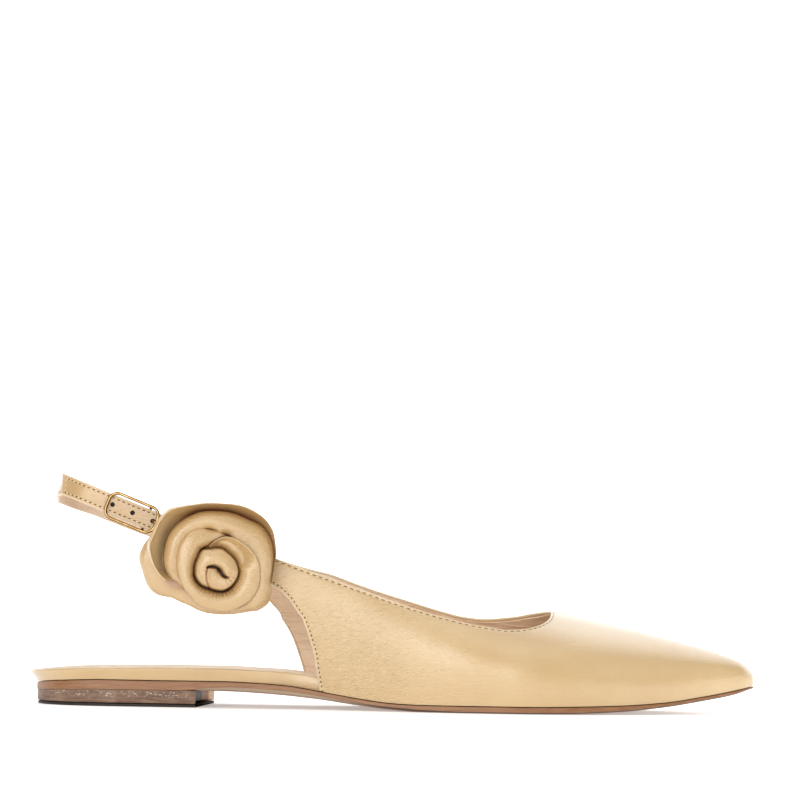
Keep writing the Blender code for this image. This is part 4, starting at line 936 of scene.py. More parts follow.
def insole():
    """The leather covered insole board, and the sock lining that lies on it."""
    body, sock = [], []
    front = 1 - NOSE * 1.6 / SHOE_LENGTH
    for along in both_ends_close(SOLE_BACK / SHOE_LENGTH, front, 180):
        foot, top, low, high, x, x_top = insole_levels(along)
        wide = high[1] - high[0]
        corner, dip = min(0.0007, wide * 0.2), INSOLE_DIP * min(1.0, wide / BALL_WIDTH * 2)
        ring = []
        for side, edge_low, edge_high in ((1, low[0], high[0]), (-1, low[1], high[1])):
            part = []
            for t in (0.0, 0.15, 0.35, 0.55, 0.75, 0.9):
                bow = 0.0003 * math.sin(math.pi * t)
                part.append((
                    x + (x_top - x) * t**1.5,
                    edge_low + (edge_high - edge_low) * t**1.5 - side * bow,
                    foot + (top - corner * 0.8 - foot) * t,
                ))
            for t in (0.0, 0.25, 0.5, 0.75, 1.0):
                turn = t * math.pi / 2
                part.append((
                    x_top,
                    edge_high + side * corner * (1 - math.cos(turn)),
                    top - corner * 0.8 * (1 - math.sin(turn)),
                ))
            part.append((x_top, edge_high + side * min(corner * 3, wide * 0.3), top - dip * 0.12))
            ring.append(part)
        middle = (x_top, (high[0] + high[1]) / 2, top - dip - 0.0002)
        body.append(ring[0] + [middle] + ring[1][::-1])
        inset = min(corner * 1.1, wide * 0.25)
        steps = np.linspace(-1, 1, 25)
        half, centre = wide / 2 - inset, (high[0] + high[1]) / 2
        tops = [top - dip * (1 - s**2) + 0.00022 - 0.0002 * s**14 for s in steps]
        over = [(x_top, centre + half * s, h) for s, h in zip(steps, tops)]
        under = [(px, py, pz - 0.0004) for px, py, pz in over]
        sock.append(over + under[::-1])
    ring_solid("insole_cover", body, insole_finish, ("insole",), 45, caps=True)
    ring_solid("sock_lining_sheet", sock[2:-2], sock_finish, (), 45, caps=True)


insole()


def heel_layer(name, low, high, inset, finish, replaced, corner=0.0003):
    """A layer of the heel, rounded along its edges. The outer ring follows the sole, the breast is hollow."""
    start = SOLE_BACK / SHOE_LENGTH
    rings = []
    count = 40
    sides = []
    for side in (LATERAL, MEDIAL):
        reach = HEEL_LENGTH + BREAST_SLANT * side
        for i in range(count + 1):
            share = 1 - math.cos(math.pi * i / count / 2)
            sides.append((side, start + share * reach / SHOE_LENGTH, share))
    loop = sides[: count + 1]
    breast = [(j, None, None) for j in np.linspace(-1, 1, 15)[1:-1]]
    back = sides[: count + 1 : -1]

    def place(item, pull):
        side, along, share = item
        if along is None:
            reach = HEEL_LENGTH - BREAST_HOLLOW * (1 - side**2) + BREAST_SLANT * side
            along = start + reach / SHOE_LENGTH
            lat, med = (float(sole_edge(along, s, -inset)) for s in (LATERAL, MEDIAL))
            return along * SHOE_LENGTH - pull, lat + (med - lat) * (side + 1) / 2, along
        y = float(sole_edge(along, side, -inset - pull)) if share > 1e-9 else 0.0
        return along * SHOE_LENGTH + inset * (1 - share) + pull * (1 - 2 * share), y, along

    order = loop + breast + back
    upper, ease_in = corner if high is not None else 0.0, corner * 0.3
    for level in range(7):
        pull = [corner, ease_in, 0, 0, 0, upper * 0.3, upper][level]
        ring = []
        for item in order:
            x, y, along = place(item, pull)
            roof = float(sole_under(along)) - 0.00005 if high is None else high
            steps = [low, low + ease_in, low + corner, (low + roof) / 2, roof - corner, roof - ease_in, roof]
            ring.append((x, y, steps[level]))
        rings.append(ring)
    bm = bmesh.new()
    # marks that place the breast's painted light and shade: 1.0 at its far, medial end up to 2.0 at its near,
    # lateral end, 0 elsewhere, and 1.0 at the medial corner so the painted shade stops there
    marks = [0.0 if along is not None else 1.5 - across / 2 for across, along, _ in order]
    marks[len(loop) + len(breast)] = 1.0
    rows = put_rows(bm, rings, bm.verts.layers.float.new("breast"), [marks] * len(rings))
    quads(bm, [row + row[:1] for row in rows])
    for row in (rows[0], rows[-1]):
        bm.faces.new((row[0], row[1], row[-1]))
        for i in range(1, count):
            bm.faces.new((row[i], row[i + 1], row[-i - 1], row[-i]))
        bm.faces.new(row[count:-count])
    return new_piece(name, bm, finish, replaced, 40)


heel_layer("heel_stack_layers", TOP_LIFT + SEAM_GAP, None, 0.0002, stack_finish, ("heel_block",))
heel_layer("top_lift_tread", 0.0, TOP_LIFT, 0.0004, rubber_finish, ("top_lift",), 0.0002)


# Straps, in the buckle's own directions: along the strap to the rosette, across it upwards, and outwards
ALONG = np.array((math.cos(STRAP_RISE), 0, -math.sin(STRAP_RISE)))
ACROSS = np.array((math.sin(STRAP_RISE), 0, math.cos(STRAP_RISE)))
OUT = np.array((0.0, -1.0, 0.0))
BUCKLE_AT = np.array((BUCKLE_ALONG, -STRAP_SIDE, BUCKLE_HEIGHT))
STRAP_START = (STRAP_END_ALONG - BUCKLE_ALONG) / math.cos(STRAP_RISE)


def at_buckle(along, across, out):
    """A place in the buckle's own directions."""
    return BUCKLE_AT + ALONG * along + ACROSS * across + OUT * out


def strap_line(s):
    """The outer strap's middle and its outward normal: straight under the buckle, bent in round the heel."""
    length = LOOP_TURN / math.cos(STRAP_RISE)
    into = max(0.0, (STRAP_START + length - s) / length)
    out = unit(OUT - ALONG * (2 * LOOP_DEPTH * into / length))
    return at_buckle(s, 0, -LOOP_DEPTH * into**2), out


COVER_SHARE = 0.62
STRAP_STITCH, STRAP_SEAM = 0.00125, (0.0019, 0.00100, 0.00046)
THREAD_OUT = STRAP_THICK / 2 - 0.0001
HALF_STEPS = (0.3, 0.5, 0.58, 0.65, 0.72, 0.8, 0.88, 0.94, 0.985, 1)
ACROSS_STEPS = np.array([-step for step in HALF_STEPS[::-1]] + [0] + list(HALF_STEPS))


def strap_sheets(path):
    """The cover's and the lining's front and back grids for a strap given as (middle, across, out) places."""
    top, seam = STRAP_THICK / 2, STRAP_THICK / 2 - STRAP_THICK * COVER_SHARE
    steps = STRAP_WIDTH / 2 * ACROSS_STEPS
    sheets, edges = [], []
    for middle, across, out in path:
        wide = STRAP_WIDTH / 2 * np.linalg.norm(across)
        near = (1 - np.abs(ACROSS_STEPS)) * wide
        fall = rounded(near, 0.0004)
        groove = 0.00012 * bell((near - STRAP_STITCH) / 0.0003)
        puff = 0.00006 * bell((near - 0.0006) / 0.0003)
        inner_steps = steps * (1 - 0.00018 / wide)
        rows = (
            (steps, top - (fall + groove - puff)),
            (steps, seam + 0.4 * fall),
            (inner_steps, np.full(len(steps), seam)),
            (inner_steps, 0.5 * fall - top),
        )
        sheets.append([middle + np.outer(w, across) + np.outer(h, out) for w, h in rows])
        edges.append(near)
    return (*np.array(sheets).swapaxes(0, 1), np.array(edges))


def cut_holes(piece, places, radius, depth):
    """Real holes through a piece, with their cutters gone afterwards."""
    for i, place in enumerate(places):
        bm = bmesh.new()
        bmesh.ops.create_cone(bm, cap_ends=True, segments=20, radius1=radius, radius2=radius, depth=depth)
        centre = Matrix.Translation(Vector(place) - Vector((HEEL_CENTRE, 0, 0)))
        turn = Matrix.Rotation(math.pi / 2, 4, "X")
        bmesh.ops.transform(bm, matrix=centre @ turn, verts=bm.verts)
        mesh = bpy.data.meshes.new(f"cutter_{i}")
        bm.to_mesh(mesh)
        bm.free()
        cutter = bpy.data.objects.new(f"cutter_{i}", mesh)
        bpy.context.scene.collection.objects.link(cutter)
        cut = piece.modifiers.new("hole", "BOOLEAN")
        cut.operation, cut.object = "DIFFERENCE", cutter
        bpy.context.view_layer.update()
        made = bpy.data.meshes.new_from_object(piece.evaluated_get(bpy.context.evaluated_depsgraph_get()))
        piece.modifiers.clear()
        piece.data = made
        bpy.data.objects.remove(cutter)
    piece.data.shade_smooth()
    piece.data.set_sharp_from_angle(angle=math.radians(40))


def strap_end():
    """The outer strap with its slanted back end, its stitching, its three holes and its narrowed tip."""
    taper = STRAP_WIDTH * 0.7
    tip_steps = np.array((0.9, 0.8, 0.7, 0.6, 0.5, 0.4, 0.3, 0.2, 0.12, 0.06, 0.02, 0))
    places = [*np.linspace(STRAP_START, TAIL_LENGTH - taper, 96), *(TAIL_LENGTH - taper * tip_steps)]
    path, marks = [], []
    for s in places:
        middle, out = strap_line(s)
        ahead = np.cross(ACROSS, out)
        ahead = ahead if np.dot(ahead, ALONG) > 0 else -ahead
        slant = -STRAP_END_SLANT * max(0.0, 1 - (s - STRAP_START) / (STRAP_WIDTH * 1.2)) ** 1.5
        into_tip = max(0.0, 1 - (TAIL_LENGTH - s) / taper)
        width = TAIL_TIP + (1 - TAIL_TIP) * math.sqrt(1 - into_tip**2)
        path.append((middle, ACROSS * width + ahead * slant, out))
        marks.append(s)
    front, seam, seam_in, low, near = strap_sheets(path)
    ends = np.minimum(np.array(marks) - STRAP_START, TAIL_LENGTH - np.array(marks))
    fall = rounded(ends, 0.0004)[:, None, None] * np.array([p[2] for p in path])[:, None, :]
    cover = sheet_solid(
        "strap_end_cover", front - fall, seam, strap_finish, "leather", ("strap_end",), edge=near
    )
    back = sheet_solid("strap_end_lining", seam_in, low, strap_lining_finish, "lining")
    holes = [at_buckle(HOLE_SPACING * (i - 1) + HOLE_SHIFT, 0, 0) for i in range(3)]
    cut_holes(cover, holes, HOLE_RADIUS, 0.006)
    cut_holes(back, holes, HOLE_RADIUS, 0.006)
    # dark discs of painted shade inside the holes, where only their shadow would be
    bm = bmesh.new()
    spokes = [ALONG * math.cos(t) + ACROSS * math.sin(t) for t in np.linspace(0, 2 * math.pi, 25)[:-1]]
    for hole, inner in zip(holes, (0.02, 0.02, 0.62)):
        rims = (inner, -0.00022), (1.0, -0.00016), (1.0, -0.00034), (inner, -0.00034)
        rows = put_rows(bm, [
            [hole + spoke * (HOLE_RADIUS * 0.99 * share) + OUT * depth for spoke in spokes]
            for share, depth in rims
        ])
        quads(bm, [row + row[:1] for row in rows + rows[:1]])
    new_piece("strap_hole_shade", bm, hole_shade_finish)
    first, last = STRAP_STITCH * 1.3, TAIL_LENGTH - 0.0012
    sewn = [p for p, s in zip(path, marks) if first <= s - STRAP_START and s < last]
    lines = []
    for level in (1, -1):
        points = []
        for middle, across, out in sewn:
            wide = STRAP_WIDTH / 2 * np.linalg.norm(across)
            reach = STRAP_WIDTH / 2 * ((wide - STRAP_STITCH) / wide) * level
            points.append(middle + across * reach + out * THREAD_OUT)
        lines.append((points, [out for _, _, out in sewn]))
    ends = [lines[0][0][0], lines[1][0][0]]
    down = [ends[0] + (ends[1] - ends[0]) * t for t in np.linspace(0, 1, 12)]
    lines.append((down, [lines[0][1][0]] * 12))
    sew("strap_end_stitch", lines, *STRAP_SEAM)


strap_end()


def sling_places(count):
    """The sling's (middle, across, out), from inside the inner quarter round to behind the strap end."""
    rows = list(zip(SLING_PATH["along"], SLING_PATH["across"], SLING_PATH["height"]))
    first, second = rows[0], rows[1]
    fall = (first[2] - second[2]) * BUCKLE_HEIGHT / ((first[0] - second[0]) * STRAP_SIDE)
    marks, half, depth = [], STRAP_WIDTH / 2 + SEAM_GAP, WALL + 2 * SEAM_GAP + STRAP_THICK / 2
    for share in SLING_SEWN[MEDIAL]:
        height = first[2] * BUCKLE_HEIGHT + (share * SHOE_LENGTH - first[0] * STRAP_SIDE) * fall
        low, high = (quarter_at(share, MEDIAL, height + h, depth)[0] for h in (-half, half))
        marks.append(((low + high) / 2, unit(np.cross(high - low, (1.0, 0, 0)))))
    places = [np.array((a * STRAP_SIDE, b * STRAP_SIDE, h * BUCKLE_HEIGHT)) for a, b, h in rows]
    for i, place in enumerate(places):
        ahead = places[min(i + 1, len(places) - 1)] - places[max(i - 1, 0)]
        out = unit(np.cross(ahead, (0, 0, 1.0)))
        out[2] = math.tan(SLING_LEAN) * out[0] ** 2
        marks.append((place, unit(out)))
    for step in SLING_SEWN[LATERAL]:
        middle, out = strap_line(STRAP_START + step * STRAP_WIDTH)
        marks.append((middle - out * (STRAP_THICK + SEAM_GAP), out))
    found = curve_through([(*p, *(n * 0.001)) for p, n in marks], np.linspace(0, 1, count))
    middles, path = found[:, :3], []
    for i, row in enumerate(found):
        ahead = unit(middles[min(i + 1, count - 1)] - middles[max(i - 1, 0)])
        across = unit(np.cross(unit(row[3:]), ahead))
        across = -across if across[2] < 0 else across
        out = np.cross(across, ahead)
        path.append((middles[i], across, out if np.dot(out, row[3:]) > 0 else -out))
    return path


def sling():
    """The sling strap: its leather faces out and its pale lining faces the heel."""
    path = sling_places(200)
    front, seam, seam_in, low, near = strap_sheets(path)
    sheet_solid("sling_cover", front, seam, strap_finish, "leather", ("sling_strap",), edge=near)
    sheet_solid("sling_lining", seam_in, low, strap_lining_finish, "lining")
    lines = []
    for level in (1, -1):
        reach = STRAP_WIDTH / 2 * (1 - STRAP_STITCH / (STRAP_WIDTH / 2)) * level
        lines.append(([m + a * reach + o * THREAD_OUT for m, a, o in path], [o for _, _, o in path]))
    sew("sling_stitch", lines, *STRAP_SEAM)


sling()


# Buckle
FRAME_OUT = STRAP_THICK / 2 + SEAM_GAP + FRAME_WIRE / 2
PRONG_OUT = FRAME_WIRE / 2 + SEAM_GAP + PRONG_WIRE / 2
BAR_OUT = -(STRAP_THICK / 2 + SEAM_GAP + PRONG_WIRE / 2 + PRONG_OUT)


def wire(bm, points, sideways, radii, closed=False):
    """A wire through points. Its section keeps one axis on the sideways direction, and radii are its half
    sizes. Each vertex notes how squarely it faces into or out of the buckle."""
    rows = []
    facing = bm.verts.layers.float.new("facing")
    count, sides = len(points), 14
    for i, p in enumerate(points):
        before = points[(i - 1) % count] if closed or i else p
        after = points[(i + 1) % count] if closed or i < count - 1 else p
        ahead = unit(after - before)
        first = unit(sideways - ahead * np.dot(sideways, ahead))
        second = np.cross(ahead, first)
        wide, tall = radii[i] if isinstance(radii, list) else radii
        ring = []
        for k in range(sides):
            t = 2 * math.pi * k / sides
            vert = bm.verts.new(p + first * (wide * math.cos(t)) + second * (tall * math.sin(t)))
            # how squarely this vertex faces out; the gold's painted dark reflection falls where this is low
            vert[facing] = abs(np.dot(first * math.cos(t) + second * math.sin(t), OUT))
            ring.append(vert)
        rows.append(ring)
    if closed:
        rows.append(rows[0])
    quads(bm, [row + row[:1] for row in rows])
    if not closed:
        bm.faces.new(rows[0])
        bm.faces.new(rows[-1])


def buckle():
    """A rounded gold frame, its bar behind the strap, and the prong that comes through a hole."""
    run = []
    length, width = FRAME_LENGTH - FRAME_WIRE, FRAME_WIDTH - FRAME_WIRE
    for cx, cy, start in ((1, 1, 0), (-1, 1, 90), (-1, -1, 180), (1, -1, 270)):
        for k in range(11):
            t = math.radians(start + 9 * k)
            across = cy * (width / 2 - FRAME_CORNER) + FRAME_CORNER * math.sin(t) + FRAME_SHIFT
            along = cx * (length / 2 - FRAME_CORNER) + FRAME_CORNER * math.cos(t)
            run.append(at_buckle(along, across, FRAME_OUT))
    bm = bmesh.new()
    wire(bm, run, OUT, (FRAME_WIRE / 2, FRAME_WIRE / 2), closed=True)
    new_piece("buckle_frame_ring", bm, gold_finish, ("buckle_frame",), 70)
    half, bend = width / 2, FRAME_WIRE
    turns = [math.radians(18 * k) for k in range(6)]
    bends = [(bend * (1 - math.cos(t)), BAR_OUT + bend * (1 - math.sin(t))) for t in turns]
    staple = [(-half, FRAME_OUT)] + [(-half + into, out) for into, out in bends]
    staple += [(half - into, out) for into, out in bends[::-1]] + [(half, FRAME_OUT)]
    places = [at_buckle(BAR_ALONG, across + FRAME_SHIFT, out) for across, out in staple]
    bm = bmesh.new()
    wire(bm, places, ALONG, (FRAME_WIRE * 0.47, FRAME_WIRE * 0.47))
    new_piece("buckle_bar", bm, gold_finish, (), 70)
    marks = []
    for degrees in (-70, -115, -160, 155, 120, 90):
        t = math.radians(degrees)
        marks.append((BAR_ALONG + PRONG_OUT * math.cos(t), BAR_OUT + PRONG_OUT * math.sin(t)))
    under = -(STRAP_THICK / 2 + SEAM_GAP + PRONG_WIRE / 2)
    over = FRAME_OUT + FRAME_WIRE / 2 + SEAM_GAP + PRONG_WIRE / 2
    hole = HOLE_SPACING + HOLE_SHIFT
    marks += [(hole - 0.0008, under), (hole, under * 0.5), (hole + 0.0001, over * 0.55)]
    marks.append((hole + 0.0009, over))
    marks.append((FRAME_LENGTH / 2 + 0.0004, over))
    found = curve_through(marks, np.linspace(0, 1, 46))
    sizes = [(PRONG_WIRE / 2, PRONG_WIRE / 2 * min(1.0, 0.35 + (45 - i) * 0.22)) for i in range(46)]
    bm = bmesh.new()
    wire(bm, [at_buckle(a, 0, o) for a, o in found], ACROSS, sizes)
    new_piece("buckle_prong_pin", bm, gold_finish, ("buckle_prong",), 70)


buckle()


def buckle_tab():
    """The leather loop round the bar: the solid's own form, with its edges rounded off."""
    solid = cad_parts["buckle_tab"]
    bm = bmesh.new()
    bm.from_mesh(solid.data)
    bm.transform(Matrix.Translation((HEEL_CENTRE, 0, 0)) @ solid.matrix_world)
    bmesh.ops.remove_doubles(bm, verts=bm.verts, dist=0.000002)
    bmesh.ops.dissolve_limit(bm, angle_limit=math.radians(3), verts=bm.verts, edges=bm.edges)
    corners = [e for e in bm.edges if len(e.link_faces) == 2 and e.calc_face_angle() > math.radians(50)]
    bmesh.ops.bevel(
        bm, geom=corners, offset=0.00012, offset_type="OFFSET", segments=2, profile=0.5, affect="EDGES"
    )
    layer = bm.verts.layers.float.new("from_edge")
    for vert in bm.verts:
        vert[layer] = 0.002
    new_piece("buckle_tab_leather", bm, strap_finish, ("buckle_tab",), 40)


buckle_tab()

# Rosette: millimetres to the toe side, upwards and outwards from the middle of its back
ROSE_SIDE = np.array((math.cos(ROSETTE_TILT), math.sin(ROSETTE_TILT), 0))
ROSE_UP = np.array((0, 0, 1.0))
ROSE_OUT = np.array((math.sin(ROSETTE_TILT), -math.cos(ROSETTE_TILT), 0))
middle = np.array((ROSETTE_ALONG - HEEL_CENTRE, 0, ROSETTE_HEIGHT))
sheet_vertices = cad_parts["rosette_sheet"].data.vertices
seat = min(float(np.dot(np.array(v.co) - middle, ROSE_OUT)) for v in sheet_vertices)
ROSE_AT = np.array((ROSETTE_ALONG, -seat / math.cos(ROSETTE_TILT), ROSETTE_HEIGHT))

# Outlines seen from the front: angles in degrees from the toe side, and reaches in millimetres
SILHOUETTE = (
    (11, 20.9), (27, 23), (38, 24.6), (50, 25.2), (67, 24.9), (87, 24.1), (108, 24.9), (120, 26.3),
    (132, 28.1), (142, 27.6), (153, 26.6), (161.6, 27.5), (170, 27.9), (182, 26.2), (194, 24.9),
    (202.6, 22.9), (214.5, 18.2), (240.8, 15.6), (263, 15.6), (284, 16.3), (308.6, 18.9), (318, 21.1),
    (330, 22.2), (339, 21.7), (351.4, 20.1),
)
CUP_RIM = (
    (-14, 20.6), (0, 20.4), (15, 21.8), (27, 23.1), (38, 24.6), (50, 25.2), (67, 24.9), (87, 24.1),
    (108, 24.9), (120, 26.3), (132, 28.1), (142, 27.6), (151, 26.8), (159, 26.7), (167, 25.2),
    (177, 22.8), (187, 20.2), (196, 17.6),
)
CREASE = (
    (-80, 16.0), (-60, 18.0), (-51.4, 18.9), (-42, 21.1), (-30, 22.2), (-21, 21.7), (-8.6, 20.1), (4, 20.6),
    (15, 21.6), (29, 22.6), (43, 22.9), (62, 21.6), (89, 21.4), (110, 21.9), (137, 21.8), (160, 20.3),
    (175, 19.1), (185, 17.8), (193, 16), (201, 14.3), (215, 13.4),
)
INNER_OUT = (
    (0, 9.0), (6, 10.5), (30, 12.0), (45, 12.6), (61, 13.1), (76, 13.5), (87, 14.0), (98, 15.1), (112, 16.2),
    (126, 16.8), (146, 16.1), (166, 14.9), (188, 13.9), (221, 13.3), (248, 14.0), (265, 14.2),
    (285, 15.0), (303, 15.4), (330, 16.0),
    (353, 15.5), (365, 15.1), (380, 14.5), (395, 13.8), (410, 13.2), (435, 12.5), (455, 10.7), (470, 9.2),
)
INNER_FOR_MIDDLE = (
    (-80, 14.8), (-57, 15.4), (-30, 16.0), (-7, 15.5), (5, 15.1), (20, 14.6), (35, 13.8), (50, 13.3),
    (61, 13.3), (76, 13.5), (87, 14.0), (98, 15.1), (112, 16.2), (126, 16.8), (146, 16.1), (166, 14.9),
    (188, 13.9), (215, 13.3),
)
BUD = (
    (-6, 7.9), (23, 7.5), (55, 7.4), (75, 8.0), (108, 8.3), (127, 9.2), (148, 8.4), (175, 8.2), (197, 8.3),
    (222, 7.9), (248, 7.1), (294, 7.8), (325, 7.8),
)


def at_rosette(angle, reach, front):
    """Points of the rosette, in metres, by angle in degrees and by reach and depth in millimetres."""
    angle, reach, front = np.broadcast_arrays(np.asarray(angle, float), reach, front)
    t = np.radians(angle)
    flat = ROSE_SIDE * (reach * np.cos(t) * MM)[..., None] + ROSE_UP * (reach * np.sin(t) * MM)[..., None]
    return ROSE_AT + flat + ROSE_OUT * (front * MM)[..., None]


def round_line(rows, angle):
    """Reach at an angle, for a line that goes all the way round."""
    rows = sorted((a % 360, r) for a, r in rows)
    turns = [(a + 360 * k, r) for k in (-1, 0, 1) for a, r in rows]
    return smooth([a for a, _ in turns], [r for _, r in turns], np.asarray(angle, float) % 360)


def open_line(rows, angle):
    """Reach at an angle, for a line with two ends."""
    return smooth([a for a, _ in rows], [r for _, r in rows], angle)


def petal(name, angles, inner, outer, heights, under, shade, shares, replaced, pucker=None, ring=False):
    """A curled piece of the rosette. heights gives its front for angles and shares of its width, in
    millimetres, under how deep it reaches behind that, and shade where painted shade darkens its colour (1) or
    a painted highlight pales it (-1)."""
    a, s = np.meshgrid(angles, shares, indexing="ij")
    low, high = inner(a), outer(a)
    reach = low + (high - low) * s
    front = heights(a, s)
    if pucker is not None:
        front = front + pucker(a, reach)
    back = under(a, s, front)
    grids = at_rosette(a, reach, front), at_rosette(a, reach, back)
    dark = np.clip(shade(a, s), -1, 1)
    return sheet_solid(name, *grids, rose_finish, "leather", replaced, 60, ring, dark, "shade")


def rounded_shares(count, tight=2.0):
    """Shares of a width that crowd together at both edges."""
    t = np.linspace(-1, 1, count)
    return (np.sign(t) * (1 - (1 - np.abs(t)) ** tight) + 1) / 2


def dome(s, peak, low_edge, high_edge):
    """A rolled fold's height share: full at the peak, low_edge and high_edge at its sides."""
    left = low_edge + (1 - low_edge) * arc(1 - s / peak)
    right = high_edge + (1 - high_edge) * arc((s - peak) / (1 - peak))
    return np.where(s < peak, left, right)


def base_petal():
    """The broad petal at the back, nearly flat on the left and full on the right."""
    angles = np.arange(0, 360, 1.5)

    def heights(a, s):
        t = np.radians(a)
        rim = 3.6 + 1.0 * np.cos(t) - 0.6 * np.sin(t)
        body = rim + (7.0 - rim) * (1 - s) ** 0.9 + 0.7 * bell((s - 0.72) / 0.18)
        return body - 1.6 * ease((s - 0.93) / 0.07) ** 2

    def shade(a, s):
        # painted shade in a band on the left, where the middle fold overhangs this petal, and a painted
        # highlight along its outer rim
        left = ease((a - 150) / 10) * ease((245 - a) / 15)
        return 0.42 * left * bell((s - 0.60) / 0.16) - 0.25 * ease((s - 0.96) / 0.04)

    petal(
        "rosette_base_petal", angles, lambda a: a * 0 + 3.0, lambda a: round_line(SILHOUETTE, a) * 0.997,
        heights, lambda a, s, front: np.maximum(0.0, front - 1.1 - 3.5 * (1 - s)), shade, rounded_shares(36),
        ("rosette_sheet",), ring=True,
    )


def cup():
    """The open petal at the upper left: its inside slopes to the crease, its rim is a thin folded lip."""
    angles = np.arange(-12, 192.1, 1.0)

    def heights(a, s):
        ends = ease((a + 12) / 40) * ease((192 - a) / 14)
        floor = 7.0 - 2.6 * ends
        rim = 12.8 - 3.8 * (1 - ease((a + 12) / 50)) - 3.8 * ease((a - 158) / 30)
        rise = floor + (rim - floor) * np.clip(s / 0.86, 0, 1) ** 1.45
        lip = rim - (rim - 9.5) * ease((s - 0.90) / 0.10) ** 1.6 * (rim > 9.5)
        return np.where(s < 0.88, rise, np.minimum(lip, rim))

    def shade(a, s):
        # painted shade deep inside the cup under its top rim and in its crease on the left, painted light on
        # its inner left side, and a painted highlight on its lip
        top = ease((a - 25) / 35) * ease((150 - a) / 40)
        deep = top * (0.66 * bell(s / 0.30) + 0.22 * bell(s / 0.75))
        side = (1 - top) * ease((192 - a) / 20) * (0.5 * bell(s / 0.05) - 0.7 * bell((s - 0.5) / 0.35))
        return deep + side - 0.3 * bell((s - 0.93) / 0.05)

    petal(
        "rosette_cup_petal", angles, lambda a: open_line(CREASE, a) - 0.6, lambda a: open_line(CUP_RIM, a),
        heights, lambda a, s, front: np.maximum(2.6, front - 1.2 - 3.0 * (1 - s)), shade, rounded_shares(40),
        ("rosette_cup",),
    )


def crown(a):
    """1 at the top of the rolls, where their creases are deep and painted dark with shade, and 0 elsewhere."""
    return np.maximum(bell((a - 99) / 9), 1.1 * bell((a - 76) / 8))


def middle_roll():
    """The broad fold over the top and down the right side, which fades out at the lower left."""
    angles = np.arange(-78, 206.1, 1.0)

    def heights(a, s):
        right = ease((35 - a) / 60)
        crest = 12.2 + 0.5 * np.sin(np.radians(a)) - 2.6 * ease((a - 165) / 40) - 3.2 * ease((-30 - a) / 48)
        low_edge = 0.96 - 0.22 * crown(a) - 0.06 * bell((a - 120) / 30)
        high_edge = 0.50 - 0.10 * right
        return crest * dome(s, 0.42 - 0.10 * right, low_edge, high_edge)

    def shade(a, s):
        # painted shade in the creases along both edges of the middle fold, darkest at its top
        left = ease((a - 120) / 30) * ease((206 - a) / 20)
        return (
            crown(a) * 1.1 * bell(s / 0.05)
            + 0.35 * bell(s / 0.018) * ease((a - 100) / 40)
            + 0.55 * ease((a - 25) / 30) * bell((s - 1) / 0.06)
            + 0.55 * left * bell((s - 1) / 0.04)
        )

    petal(
        "rosette_middle_fold", angles, lambda a: open_line(INNER_FOR_MIDDLE, a) - 0.5,
        lambda a: open_line(CREASE, a) - 0.05 - 2.2 * ease((-52 - a) / 26),
        heights, lambda a, s, front: np.minimum(2.7, front - 0.8) + 0 * a, shade, rounded_shares(44, 1.8),
        ("rosette_middle_roll",),
    )


def bottom(a):
    """1 along the bottom of the bud, where the leather puckers, and 0 elsewhere."""
    return ease((a - 165) / 50) * ease((340 - a) / 40)


def inner_roll():
    """The inner fold: it starts under its own end, goes round the bud and ends in a thin raised flap."""
    angles = np.arange(14, 470.1, 1.0)

    def flap(a):
        return ease((a - 352) / 34)

    def ripple(a):
        return 0.5 + 0.5 * np.sin(np.radians(a) * 62 + 1.7 * np.sin(np.radians(a) * 13))

    def bud_line(a):
        return round_line(BUD, a) + 0.03 + 0.15 * bottom(a % 360)

    def heights(a, s):
        start = ease((a - 14) / 40)
        early = 1 - ease((a - 95) / 50)
        crest = 13.9 - 1.6 * early - 1.2 * (1 - start)
        body = crest * dome(s, 0.52, 0.58 - 0.06 * bottom(a), 0.89 - 0.26 * crown(a))
        lip = 14.9 - 0.7 * ease((a - 430) / 40)
        hollow = 8.2 + 2.2 * ease((a - 440) / 30) + 3.5 * ease((385 - a) / 25)
        sheet = hollow + (lip - hollow) * np.clip(s / 0.93, 0, 1) ** 1.25 - 1.0 * ease((s - 0.93) / 0.07) ** 2
        return body + (sheet - body) * flap(a)

    def pucker(a, reach):
        near = bell((reach - 8.6) / 1.7)
        fan = ease((a - 366) / 15) * ease((420 - a) / 15) * bell((reach - 10.8) / 2.4)
        rays = np.sin(np.radians(a) * 58 + reach * 0.6 + 1.3 * np.sin(np.radians(a) * 17))
        return -0.42 * bottom(a) * near * ripple(a) + 0.20 * fan * rays

    def shade(a, s):
        # painted shade in the crease by the bud, between the puckers, along its outer crease, in the hollow
        # under the flap and where the flap lies on the fold; a painted highlight on the flap's lip
        thin = flap(a)
        puckered = 0.5 * bell(s / 0.05) + 0.34 * ripple(a) * bell((s - 0.12) / 0.20)
        bud_side = (0.50 * bell(s / 0.022) + bottom(a) * puckered) * (1 - thin)
        outside = (crown(a) * 1.1 * bell((s - 1) / 0.05) + 0.30 * bell((s - 1) / 0.012)) * (1 - thin)
        hollow = thin * 0.95 * bell((s - 0.14) / 0.30) * ease((a - 400) / 22) * ease((462 - a) / 30)
        right = thin * 0.30 * bell(s / 0.04)
        reach = bud_line(a) + (open_line(INNER_OUT, a) - bud_line(a)) * s
        past_flap = reach - open_line(INNER_OUT, a + 360)
        covered = ease((a - 55) / 20) * ease((150 - a) / 30) * bell((past_flap - 0.15) / 0.40)
        return bud_side + outside + covered + np.maximum(hollow, right) - 0.8 * thin * bell((s - 0.96) / 0.05)

    def under(a, s, front):
        thin = flap(a)
        return 2.8 + (front - 0.9 - 2.8) * thin

    petal(
        "rosette_inner_fold", angles, bud_line, lambda a: open_line(INNER_OUT, a) - 0.05,
        heights, under, shade, rounded_shares(44, 1.8), ("rosette_inner_roll",), pucker,
    )


